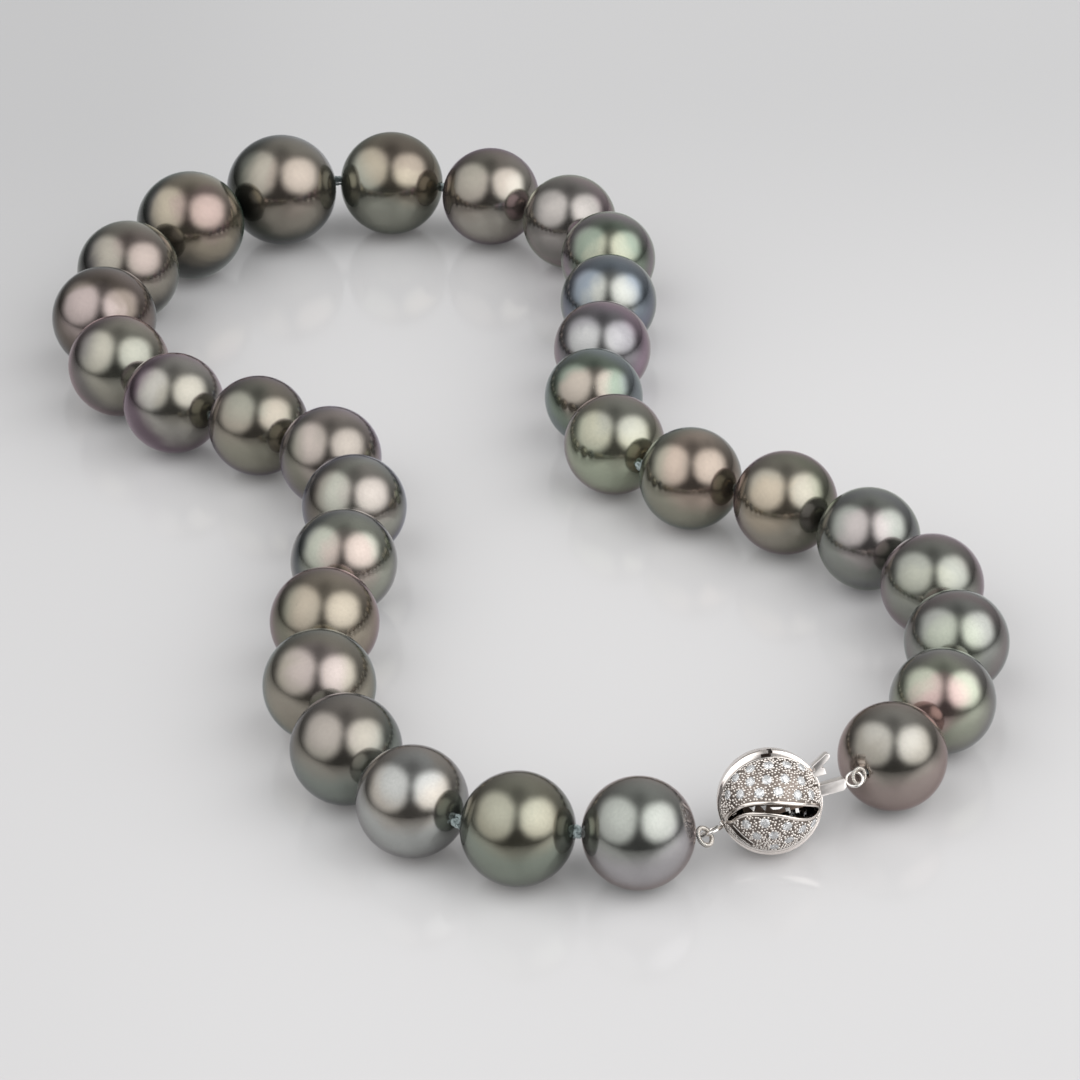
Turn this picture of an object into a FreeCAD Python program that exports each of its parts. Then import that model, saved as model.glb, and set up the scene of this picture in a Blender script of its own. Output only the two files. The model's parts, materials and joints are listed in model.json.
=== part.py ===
# Graduated pearl necklace with a diamond-set ball clasp.
# The strand lies flat in an open double curve; the clasp is closed.
# Millimetres. +Z is up, the beads rest on Z = 0, and the origin is the middle
# of the base of the bounding box. +X runs to the tongue side of the clasp and
# +Y runs from the clasp to the large centre beads.

import FreeCAD, Part
import os
import math

os.makedirs("parts", exist_ok=True)
doc = FreeCAD.newDocument("pearl_necklace")
V = FreeCAD.Vector

# ---------------------------------------------------------------------------
# Driving dimensions
# ---------------------------------------------------------------------------
sheet = doc.addObject("Spreadsheet::Sheet", "Dims")
row_number = [0]


def dim(alias, value):
    """One plain number in the sheet, with its name."""
    row_number[0] += 1
    cell = "A%d" % row_number[0]
    sheet.set(cell, repr(float(value)))
    sheet.setAlias(cell, alias)
    return value


def bind(obj, prop, formula):
    obj.setExpression(prop, formula)


# Beads in thread order, from the tongue side of the clasp round to the ring
# side: diameter, X, Y, heading of the drill hole and its rise, in degrees.
BEADS = [
    (11.692, 42.504, -71.451, 52.78, -11.4),
    (11.636, 49.161, -61.248, 63.37, 0.0),
    (11.79, 52.306, -49.428, 84.88, 0.0),
    (11.964, 51.14, -37.086, 107.68, 0.0),
    (12.246, 45.089, -26.007, 127.22, 0.0),
    (12.576, 36.107, -16.695, 142.32, 0.0),
    (12.596, 25.149, -9.49, 148.81, 0.0),
    (12.648, 16.278, 0.206, 115.44, 0.0),
    (12.622, 14.203, 13.197, 83.65, 0.0),
    (12.794, 15.858, 26.564, 83.65, 0.0),
    (13.024, 17.285, 40.352, 83.12, 0.0),
    (13.134, 17.83, 53.941, 94.2, 0.0),
    (13.338, 12.902, 66.783, 127.76, 0.0),
    (14.012, 1.809, 76.163, 150.33, 0.0),
    (14.946, -12.601, 81.69, 167.71, 0.0),
    (15.98, -28.597, 80.174, -156.73, 0.0),
    (15.388, -41.249, 70.053, -127.83, 0.0),
    (14.206, -49.096, 56.779, -111.33, 0.0),
    (14.098, -51.153, 42.252, -85.5, 0.0),
    (13.402, -47.974, 28.345, -68.29, 0.0),
    (13.05, -39.986, 17.161, -39.14, 0.0),
    (12.784, -28.655, 9.94, -28.48, 0.0),
    (12.8, -19.215, 0.554, -61.48, 0.0),
    (12.742, -15.926, -12.323, -88.84, 0.0),
    (12.65, -16.853, -25.518, -98.93, 0.0),
    (12.622, -18.716, -38.852, -96.7, 0.0),
    (12.658, -18.88, -52.404, -84.2, 0.0),
    (12.204, -15.597, -65.135, -66.92, 0.0),
    (11.97, -8.405, -75.488, -42.57, 0.0),
    (12.09, 2.578, -81.56, -15.88, 0.0),
    (11.838, 14.97, -83.244, 0.29, -9.67),
]

# The knot after each bead, in that bead's own frame: x, y, z, half thickness.
KNOTS = [
    (6.079, -0.099, 0.622, 0.186),
    (6.155, 0.163, 0.038, 0.132),
    (6.285, -0.028, 0.043, 0.301),
    (6.303, 0.176, 0.071, 0.136),
    (6.45, -0.059, 0.083, 0.252),
    (6.553, 0.142, 0.005, 0.181),
    (6.813, -0.111, 0.013, 0.444),
    (6.791, -0.191, -0.006, 0.168),
    (6.691, -0.083, 0.043, 0.331),
    (6.873, 0.083, 0.057, 0.426),
    (6.812, -0.088, 0.028, 0.229),
    (7.089, 0.144, 0.051, 0.175),
    (7.204, 0.169, 0.169, 0.487),
    (7.565, 0.049, 0.233, 0.358),
    (8.14, 0.12, 0.259, 0.567),
    (8.438, 0.29, -0.148, 0.217),
    (8.09, -0.037, -0.295, 0.321),
    (7.519, 0.148, -0.027, 0.159),
    (7.381, 0.048, -0.174, 0.281),
    (7.174, 0.053, -0.088, 0.143),
    (6.795, 0.185, -0.066, 0.222),
    (6.899, -0.131, 0.004, 0.163),
    (6.813, -0.165, -0.014, 0.365),
    (6.659, -0.043, -0.023, 0.165),
    (6.74, -0.008, -0.007, 0.365),
    (6.805, 0.024, 0.009, 0.344),
    (6.75, 0.084, -0.113, 0.372),
    (6.497, 0.045, -0.059, 0.124),
    (6.39, 0.121, 0.03, 0.356),
    (6.41, 0.073, 0.434, 0.13),
]

for i, (dia, px, py, heading, rise) in enumerate(BEADS, 1):
    dim("bead_diameter_%02d" % i, dia)
    dim("bead_place_x_%02d" % i, px)
    dim("bead_place_y_%02d" % i, py)
for i, (kx, ky, kz, half) in enumerate(KNOTS, 1):
    dim("knot_half_%02d" % i, half)

DRILL = dim("drill_diameter", 0.90)
SILK = dim("silk_diameter", 0.76)
KNOT_TALL = dim("knot_half_width", 0.58)

BALL = dim("ball_diameter", 11.0)
DOME = dim("dome_diameter", 10.84)
DOME_IN = dim("dome_inner_diameter", 9.50)
BELT_IN = dim("belt_inner_diameter", 9.40)
FIELD_LONG = dim("field_half_length", 5.32)
FIELD_HIGH = dim("field_half_height", 4.86)
FIELD_GAP = dim("field_gap", 0.03)

TONGUE_WIDE = dim("tongue_width", 2.6)
SPRING_WIDE = dim("spring_width", 2.2)
FOLD_R = dim("fold_radius", 0.42)
EYE_R = dim("eye_ring_radius", 0.85)
EYE_W = dim("eye_wire_radius", 0.18)
GIMP_R_R = dim("gimp_right_radius", 0.8)
GIMP_R_W = dim("gimp_right_wire_radius", 0.22)
RING_R = dim("left_ring_radius", 1.18)
RING_W = dim("left_ring_wire_radius", 0.21)
GIMP_L_R = dim("gimp_left_radius", 0.97)
GIMP_L_W = dim("gimp_left_wire_radius", 0.27)
POST_R = dim("post_radius", 0.40)
GIRDLE_DEPTH = dim("girdle_radius_of_ball", 5.36)

doc.recompute()

# ---------------------------------------------------------------------------
# Frames
# ---------------------------------------------------------------------------


def frame(base, xdir, ydir, zdir):
    m = FreeCAD.Matrix(
        xdir[0], ydir[0], zdir[0], base[0],
        xdir[1], ydir[1], zdir[1], base[1],
        xdir[2], ydir[2], zdir[2], base[2],
        0, 0, 0, 1)
    return FreeCAD.Placement(m)


# Clasp frame: X along the tongue, towards its way out; Z across the leaf
# spring; -Y is the pole of the front dome.
CLASP_AT = (28.8886, -78.0752, 5.5)
CLASP_X = (0.973783, 0.10935, 0.199473)
CLASP_Y = (-0.005128, 0.887212, -0.461333)
CLASP_Z = (-0.227421, 0.448216, 0.864513)
CLASP = frame(CLASP_AT, CLASP_X, CLASP_Y, CLASP_Z)
POST_DIR = (-0.912879, -0.310757, -0.264729)          # from the ball's centre to its soldered ring


def bead_frame(px, py, pz, heading, rise):
    turn = FreeCAD.Rotation(V(0, 0, 1), heading)
    tip = FreeCAD.Rotation(V(0, 1, 0), -rise)
    return FreeCAD.Placement(V(px, py, pz), turn.multiply(tip))


nodes = []


def node(obj, label):
    obj.Label = label
    nodes.append(obj)
    return obj


# ---------------------------------------------------------------------------
# Strand: each bead is a drilled ball with its length of silk and its knot
# ---------------------------------------------------------------------------
for i, (dia, px, py, heading, rise) in enumerate(BEADS, 1):
    tag = "%02d" % i
    ball = doc.addObject("Part::Sphere", "ball_" + tag)
    bind(ball, "Radius", "Dims.bead_diameter_%s / 2" % tag)
    # the ball's poles lie on the drill hole
    ball.Placement = FreeCAD.Placement(V(0, 0, 0), FreeCAD.Rotation(V(0, 1, 0), 90))

    hole = doc.addObject("Part::Cylinder", "drill_" + tag)
    bind(hole, "Radius", "Dims.drill_diameter / 2")
    bind(hole, "Height", "Dims.bead_diameter_%s + 2" % tag)
    hole.Placement = FreeCAD.Placement(V(-dia / 2 - 1, 0, 0), FreeCAD.Rotation(V(0, 1, 0), 90))
    bind(hole, "Placement.Base.x", "-Dims.bead_diameter_%s / 2 - 1" % tag)

    bead = doc.addObject("Part::Cut", "bead_" + tag)
    bead.Base = ball
    bead.Tool = hole

    core = doc.addObject("Part::Cylinder", "core_" + tag)
    bind(core, "Radius", "Dims.silk_diameter / 2")
    core.Placement = FreeCAD.Placement(V(-dia / 2 + 0.03, 0, 0), FreeCAD.Rotation(V(0, 1, 0), 90))
    bind(core, "Placement.Base.x", "-Dims.bead_diameter_%s / 2 + 0.03" % tag)
    if i <= len(KNOTS):
        kx, ky, kz, half = KNOTS[i - 1]
        # the core runs on into the knot
        core.Height = kx + dia / 2 - 0.03
        # a short barrel, its axis the line that the thread bends about
        knot = doc.addObject("Part::Cylinder", "knot_" + tag)
        bind(knot, "Radius", "Dims.knot_half_%s" % tag)
        bind(knot, "Height", "2 * Dims.knot_half_width")
        if i % 2:
            # bends from side to side: barrel upright
            knot.Placement = FreeCAD.Placement(V(kx, ky, kz - KNOT_TALL), FreeCAD.Rotation())
        else:
            # bends up and down: barrel across the thread
            knot.Placement = FreeCAD.Placement(V(kx, ky + KNOT_TALL, kz), FreeCAD.Rotation(V(1, 0, 0), 90))
        silk = doc.addObject("Part::MultiFuse", "silk_" + tag)
        silk.Shapes = [core, knot]
    else:
        bind(core, "Height", "Dims.bead_diameter_%s - 0.06" % tag)
        silk = core

    pearl = doc.addObject("Part::Compound", "pearl_" + tag)
    pearl.Links = [bead, silk]
    pearl.Placement = bead_frame(px, py, dia / 2, heading, rise)
    bind(pearl, "Placement.Base.x", "Dims.bead_place_x_%s" % tag)
    bind(pearl, "Placement.Base.y", "Dims.bead_place_y_%s" % tag)
    bind(pearl, "Placement.Base.z", "Dims.bead_diameter_%s / 2" % tag)
    node(pearl, "pearl_" + tag)

# ---------------------------------------------------------------------------
# Ball of the clasp: two stone-set domes in a polished belt
# ---------------------------------------------------------------------------


def sphere(name, formula):
    s = doc.addObject("Part::Sphere", name)
    bind(s, "Radius", formula)
    return s


def block(name, x0, x1, y0, y1, z0, z1):
    s = doc.addObject("Part::Box", name)
    s.Length = x1 - x0
    s.Width = y1 - y0
    s.Height = z1 - z0
    s.Placement = FreeCAD.Placement(V(x0, y0, z0), FreeCAD.Rotation())
    return s


def field_prism(name, shrink, y0, y1):
    """An elliptical prism along Y: the outline of a dome's stone field."""
    e = doc.addObject("Part::Ellipse", name + "_outline")
    bind(e, "MajorRadius", "Dims.field_half_length - %s" % shrink)
    bind(e, "MinorRadius", "Dims.field_half_height - %s" % shrink)
    e.Placement = FreeCAD.Placement(V(0, y0, 0), FreeCAD.Rotation(V(1, 0, 0), 90))
    p = doc.addObject("Part::Extrusion", name)
    p.Base = e
    p.DirMode = "Custom"
    p.Dir = V(0, 1, 0)
    p.LengthFwd = y1 - y0
    p.Solid = True
    return p


# stones of the domes: x, z and girdle diameter, in the clasp frame
STONES_UPPER = [
    (-1.13, 4.21, 1.08),
    (0.78, 4.07, 1.08),
    (2.62, 3.55, 1.08),
    (-2.82, 3.67, 1.08),
    (-1.54, 3.05, 1.08),
    (0.16, 2.83, 1.08),
    (1.98, 2.39, 1.08),
    (3.58, 1.6, 1.08),
    (-4.1, 2.2, 1.08),
    (-2.88, 2.07, 1.08),
    (-0.98, 1.75, 1.08),
    (0.93, 1.35, 1.08),
    (2.78, 0.42, 1.08),
    (4.19, -0.1, 1.08),
    (4.05, 2.75, 1.08),
]
STONES_LOWER = [
    (-3.13, -1.09, 1.08),
    (-1.28, -1.37, 1.08),
    (0.85, -2.38, 1.08),
    (2.33, -3.25, 1.08),
    (-2.42, -2.58, 1.08),
    (-0.73, -2.95, 1.08),
    (0.71, -3.95, 1.08),
    (-0.95, -4.25, 1.08),
    (3.62, -3.15, 1.08),
]
STONES_BACK = [
    (-1.42, -4.15, 1.08),
    (0.0, -4.15, 1.08),
    (1.42, -4.15, 1.08),
    (-3.55, -2.85, 1.08),
    (-2.13, -2.85, 1.08),
    (-0.71, -2.85, 1.08),
    (0.71, -2.85, 1.08),
    (2.13, -2.85, 1.08),
    (3.55, -2.85, 1.08),
    (-4.26, -1.45, 1.08),
    (-2.84, -1.45, 1.08),
    (-1.42, -1.45, 1.08),
    (0.0, -1.45, 1.08),
    (1.42, -1.45, 1.08),
    (2.84, -1.45, 1.08),
    (4.26, -1.45, 1.08),
    (-3.55, 0.0, 1.08),
    (-2.13, 0.0, 1.08),
    (-0.71, 0.0, 1.08),
    (0.71, 0.0, 1.08),
    (2.13, 0.0, 1.08),
    (3.55, 0.0, 1.08),
    (-4.26, 1.45, 1.08),
    (-2.84, 1.45, 1.08),
    (-1.42, 1.45, 1.08),
    (0.0, 1.45, 1.08),
    (1.42, 1.45, 1.08),
    (2.84, 1.45, 1.08),
    (4.26, 1.45, 1.08),
    (-3.55, 2.85, 1.08),
    (-2.13, 2.85, 1.08),
    (-0.71, 2.85, 1.08),
    (0.71, 2.85, 1.08),
    (2.13, 2.85, 1.08),
    (3.55, 2.85, 1.08),
    (-1.42, 4.15, 1.08),
    (0.0, 4.15, 1.08),
    (1.42, 4.15, 1.08),
]

# outline of the curved opening between the two lobes of the front dome
OPENING = [
    (-4.81, -0.34), (-4.658, -0.145), (-4.4, 0.08), (-4.184, 0.236),
    (-3.91, 0.38), (-3.504, 0.561), (-3.04, 0.71), (-2.568, 0.761),
    (-2.08, 0.75), (-1.619, 0.696), (-1.09, 0.59), (-0.343, 0.417),
    (0.42, 0.21), (1.003, 0.001), (1.54, -0.22), (2.107, -0.452),
    (2.68, -0.7), (3.299, -0.987), (3.85, -1.26), (4.216, -1.461),
    (4.45, -1.62), (4.558, -1.737), (4.56, -1.85), (4.476, -2.014),
    (4.32, -2.17), (4.105, -2.272), (3.85, -2.33), (3.6, -2.347),
    (3.29, -2.3), (2.849, -2.161), (2.34, -1.95), (1.794, -1.658),
    (1.23, -1.34), (0.684, -1.049), (0.14, -0.78), (-0.408, -0.549),
    (-0.95, -0.35), (-1.486, -0.177), (-1.99, -0.04), (-2.409, 0.059),
    (-2.82, 0.1), (-3.316, 0.056), (-3.79, -0.05), (-4.158, -0.238),
    (-4.45, -0.4), (-4.697, -0.418),
]

GIRDLE = 5.36


def stone_frame(x, z, side):
    """Origin on the girdle, local +Z out of the ball."""
    y = math.sqrt(GIRDLE ** 2 - x * x - z * z)
    p = V(x, -y if side == "front" else y, z)
    return FreeCAD.Placement(p, FreeCAD.Rotation(V(0, 0, 1), p))


def stone_shape(dia, at):
    """Round brilliant: table, crown, girdle and pavilion."""
    r = dia / 2
    profile = [V(0, 0, -0.42 * dia), V(r, 0, -0.02), V(r, 0, 0.02),
               V(0.56 * r, 0, 0.14 * dia), V(0, 0, 0.14 * dia)]
    face = Part.Face(Part.makePolygon(profile + [profile[0]]))
    s = face.revolve(V(0, 0, 0), V(0, 0, 1), 360)
    s = s if s.ShapeType == "Solid" else Part.Solid(s.Shells[0])
    s.Placement = at
    return s


def seat_shape(dia, at):
    s = Part.makeCylinder(dia / 2 + 0.03, 2.0, V(0, 0, -1.2), V(0, 0, 1))
    s.Placement = at
    return s


def computed(name, shapes, label=None):
    o = doc.addObject("Part::Feature", name)
    o.Shape = Part.makeCompound(shapes)
    if label:
        o.Placement = CLASP
        node(o, label)
    return o


# the domes' shell
dome_out = sphere("dome_out", "Dims.dome_diameter / 2")
dome_in = sphere("dome_in", "Dims.dome_inner_diameter / 2")
dome_wall = doc.addObject("Part::Cut", "dome_wall")
dome_wall.Base = dome_out
dome_wall.Tool = dome_in

front_prism = field_prism("front_prism", "Dims.field_gap", -7, -0.05)
back_prism = field_prism("back_prism", "Dims.field_gap", 0.05, 7)

tongue_way = block("tongue_way", 3.6, 7.0, -1.55, 1.55, -1.08, 2.02)

front_blank = doc.addObject("Part::MultiCommon", "front_blank")
front_blank.Shapes = [dome_wall, front_prism]
opening_wire = doc.addObject("Part::Polygon", "opening_wire")
opening_wire.Nodes = [V(x, -7, z) for x, z in OPENING]
opening_wire.Close = True
opening_tool = doc.addObject("Part::Extrusion", "opening_tool")
opening_tool.Base = opening_wire
opening_tool.DirMode = "Custom"
opening_tool.Dir = V(0, 1, 0)
opening_tool.LengthFwd = 6.6
opening_tool.Solid = True
front_seats = computed("front_seats", [seat_shape(q, stone_frame(x, z, "front")) for x, z, q in STONES_UPPER + STONES_LOWER])
front_tools = doc.addObject("Part::Compound", "front_tools")
front_tools.Links = [front_seats]
front_a = doc.addObject("Part::Cut", "front_a")
front_a.Base = front_blank
front_a.Tool = opening_tool
front_b = doc.addObject("Part::Cut", "front_b")
front_b.Base = front_a
front_b.Tool = tongue_way
front_shell = doc.addObject("Part::Cut", "front_shell")
front_shell.Base = front_b
front_shell.Tool = front_tools
front_shell.Placement = CLASP
node(front_shell, "clasp_front_dome")

back_blank = doc.addObject("Part::MultiCommon", "back_blank")
back_blank.Shapes = [dome_wall, back_prism]
back_seats = computed("back_seats", [seat_shape(q, stone_frame(x, z, "back")) for x, z, q in STONES_BACK])
back_a = doc.addObject("Part::Cut", "back_a")
back_a.Base = back_blank
back_a.Tool = tongue_way
back_shell = doc.addObject("Part::Cut", "back_shell")
back_shell.Base = back_a
back_shell.Tool = back_seats
back_shell.Placement = CLASP
node(back_shell, "clasp_back_dome")

computed("stones_upper", [stone_shape(q, stone_frame(x, z, "front")) for x, z, q in STONES_UPPER], "stones_front_upper")
computed("stones_lower", [stone_shape(q, stone_frame(x, z, "front")) for x, z, q in STONES_LOWER], "stones_front_lower")
computed("stones_rear", [stone_shape(q, stone_frame(x, z, "back")) for x, z, q in STONES_BACK], "stones_back")

# the belt: everything of the ball outside the two stone fields
belt_out = sphere("belt_out", "Dims.ball_diameter / 2")
belt_in = sphere("belt_in", "Dims.belt_inner_diameter / 2")
belt_wall = doc.addObject("Part::Cut", "belt_wall")
belt_wall.Base = belt_out
belt_wall.Tool = belt_in
field_through = field_prism("field_through", "0", -7, 7)
belt_ring = doc.addObject("Part::Cut", "belt_ring")
belt_ring.Base = belt_wall
belt_ring.Tool = field_through
# a stepped notch at the top edge and two narrow slits low on the left
notch_a = block("notch_a", 1.20, 1.60, -3.2, -0.7, 4.2, 6.0)
notch_b = block("notch_b", 0.35, 1.30, -3.2, -2.12, 4.2, 6.0)
slit_a = doc.addObject("Part::Box", "slit_a")
slit_a.Length = 1.5
slit_a.Width = 0.22
slit_a.Height = 2.0
slit_a.Placement = FreeCAD.Placement(V(-4.62, -2.05, -2.1), FreeCAD.Rotation(V(0, 1, 0), 45))
belt_tools = doc.addObject("Part::Compound", "belt_tools")
belt_tools.Links = [tongue_way, notch_a]
belt_a = doc.addObject("Part::Cut", "belt_a")
belt_a.Base = belt_ring
belt_a.Tool = tongue_way
belt_b = doc.addObject("Part::Cut", "belt_b")
belt_b.Base = belt_a
belt_b.Tool = notch_a
belt_c = doc.addObject("Part::Cut", "belt_c")
belt_c.Base = belt_b
belt_c.Tool = notch_b
belt = doc.addObject("Part::Cut", "belt")
belt.Base = belt_c
belt.Tool = slit_a
belt.Placement = CLASP
node(belt, "clasp_belt")

# guide box inside the ball, behind the tongue's way out
box_out = block("box_out", -3.0, 4.7, -1.80, 1.80, -1.33, 2.27)
box_in = block("box_in", -2.7, 6.0, -1.50, 1.50, -1.03, 1.97)
box_limit = sphere("box_limit", "Dims.dome_inner_diameter / 2 - 0.09")
box_tube = doc.addObject("Part::Cut", "box_tube")
box_tube.Base = box_out
box_tube.Tool = box_in
guide_box = doc.addObject("Part::MultiCommon", "guide_box")
guide_box.Shapes = [box_tube, box_limit]
guide_box.Placement = CLASP
node(guide_box, "clasp_guide_box")

# the short post that the left ring is soldered to
post = doc.addObject("Part::Cylinder", "post")
bind(post, "Radius", "Dims.post_radius")
post.Height = 0.24
post_at = V(*CLASP_AT) + V(*POST_DIR) * 5.515
post.Placement = FreeCAD.Placement(post_at, FreeCAD.Rotation(V(0, 0, 1), V(*POST_DIR)))
node(post, "ring_post")

# ---------------------------------------------------------------------------
# Tongue: lower leaf, fold and the thick bar that stands out of the ball
# ---------------------------------------------------------------------------


def side_profile(body, name, points):
    """Closed outline in the clasp's XZ plane."""
    sk = body.newObject("Sketcher::SketchObject", name)
    sk.Placement = FreeCAD.Placement(V(0, 0, 0), FreeCAD.Rotation(V(1, 0, 0), 90))
    for j, (x, z) in enumerate(points):
        x2, z2 = points[(j + 1) % len(points)]
        sk.addGeometry(Part.LineSegment(V(x, z, 0), V(x2, z2, 0)), False)
    return sk


tongue_body = doc.addObject("PartDesign::Body", "tongue_body")
tongue_sketch = side_profile(tongue_body, "tongue_sketch", [
    (-2.0, -0.90), (7.70, -0.90), (8.02, -0.62), (8.10, -0.10), (8.10, 0.16),
    (8.02, 0.25), (4.30, 0.25), (4.10, 0.05), (4.10, -0.50), (-2.0, -0.50)])
tongue_pad = tongue_body.newObject("PartDesign::Pad", "tongue_pad")
tongue_pad.Profile = tongue_sketch
tongue_pad.Midplane = True
bind(tongue_pad, "Length", "Dims.tongue_width")
tongue_body.Tip = tongue_pad

fold = doc.addObject("Part::Cylinder", "fold")
bind(fold, "Radius", "Dims.fold_radius")
bind(fold, "Height", "Dims.tongue_width")
fold.Placement = FreeCAD.Placement(V(-2.0, 1.3, -0.48), FreeCAD.Rotation(V(1, 0, 0), 90))
bind(fold, "Placement.Base.y", "Dims.tongue_width / 2")
tongue = doc.addObject("Part::Fuse", "tongue")
tongue.Base = tongue_body
tongue.Tool = fold
tongue.Placement = CLASP
node(tongue, "clasp_tongue")

# ---------------------------------------------------------------------------
# Spring leaf with its catch step and the thumb lever outside the ball
# ---------------------------------------------------------------------------
spring_body = doc.addObject("PartDesign::Body", "spring_body")
spring_sketch = side_profile(spring_body, "spring_sketch", [
    (-1.50, -0.36), (-1.42, -0.02), (1.20, 0.72), (4.20, 1.72), (5.30, 1.84),
    (5.34, 1.97), (5.18, 2.36), (6.78, 3.20), (7.02, 3.26), (7.22, 3.14),
    (7.30, 2.92), (7.16, 2.68), (6.05, 1.98), (6.40, 1.84), (6.42, 1.18),
    (5.30, 1.18), (4.35, 1.20), (1.30, 0.36)])
spring_pad = spring_body.newObject("PartDesign::Pad", "spring_pad")
spring_pad.Profile = spring_sketch
spring_pad.Midplane = True
bind(spring_pad, "Length", "Dims.spring_width")
spring_body.Tip = spring_pad
spring_body.Placement = CLASP
node(spring_body, "clasp_spring")

# ---------------------------------------------------------------------------
# Rings and the coiled-wire loops that guard the silk at the clasp
# ---------------------------------------------------------------------------


def ring(name, at, normal, major, minor):
    t = doc.addObject("Part::Torus", name)
    bind(t, "Radius1", major)
    bind(t, "Radius2", minor)
    t.Placement = FreeCAD.Placement(V(*at), FreeCAD.Rotation(V(0, 0, 1), V(*normal)))
    return node(t, name)


ring("eye_ring_right", (37.8601, -77.1957, 7.0918), (0.129432, 0.448638, -0.884292), "Dims.eye_ring_radius", "Dims.eye_wire_radius")
ring("gimp_right", (38.3832, -76.7548, 7.1704), (-0.546856, 0.76416, -0.342065), "Dims.gimp_right_radius", "Dims.gimp_right_wire_radius")
ring("gimp_left", (21.817, -82.3012, 4.3852), (-0.649661, 0.349284, -0.675234), "Dims.gimp_left_radius", "Dims.gimp_left_wire_radius")
ring("ring_left", (22.5502, -80.9326, 4.0271), (-0.38204, 0.440642, 0.81233), "Dims.left_ring_radius", "Dims.left_ring_wire_radius")

# ---------------------------------------------------------------------------
# Checks and export
# ---------------------------------------------------------------------------
doc.recompute()
for o in doc.Objects:
    if "Invalid" in o.State or "Error" in o.State:
        raise RuntimeError("object in error: %s %s" % (o.Name, o.State))
for o in nodes:
    s = o.Shape
    if s.isNull() or not s.isValid() or not s.Solids:
        raise RuntimeError("bad shape: %s %s %s %d" % (o.Label, s.isNull(), s.isValid(), len(s.Solids)))
    s.exportStep("parts/%s.step" % o.Label)
    print("%-20s solids %2d volume %10.3f" % (o.Label, len(s.Solids), s.Volume))
print("nodes", len(nodes))
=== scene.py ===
import json
import math
import random

import bmesh
import bpy
import numpy as np
from mathutils import Matrix, Vector


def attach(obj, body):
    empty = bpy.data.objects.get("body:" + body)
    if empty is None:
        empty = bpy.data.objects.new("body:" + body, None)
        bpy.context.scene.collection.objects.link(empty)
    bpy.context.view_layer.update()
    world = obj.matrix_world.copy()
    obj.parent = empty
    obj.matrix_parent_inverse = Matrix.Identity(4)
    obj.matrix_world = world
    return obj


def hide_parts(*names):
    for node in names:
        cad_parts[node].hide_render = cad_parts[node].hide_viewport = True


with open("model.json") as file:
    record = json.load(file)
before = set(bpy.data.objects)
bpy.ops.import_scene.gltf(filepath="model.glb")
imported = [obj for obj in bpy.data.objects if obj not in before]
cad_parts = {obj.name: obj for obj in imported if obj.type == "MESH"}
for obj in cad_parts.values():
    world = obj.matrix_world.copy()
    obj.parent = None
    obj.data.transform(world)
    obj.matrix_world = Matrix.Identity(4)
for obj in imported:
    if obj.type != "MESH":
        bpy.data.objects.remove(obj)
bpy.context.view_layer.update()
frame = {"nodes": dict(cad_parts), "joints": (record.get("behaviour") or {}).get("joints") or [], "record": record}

MM = 0.001
rnd = random.Random(31)
record = frame["record"]
joints = {j["name"]: j for j in frame["joints"]}
BEADS = 31


def unit(v):
    v = np.asarray(v, float)
    return v / np.linalg.norm(v)


# ---------------------------------------------------------------------------
# Node helpers
# ---------------------------------------------------------------------------


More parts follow.
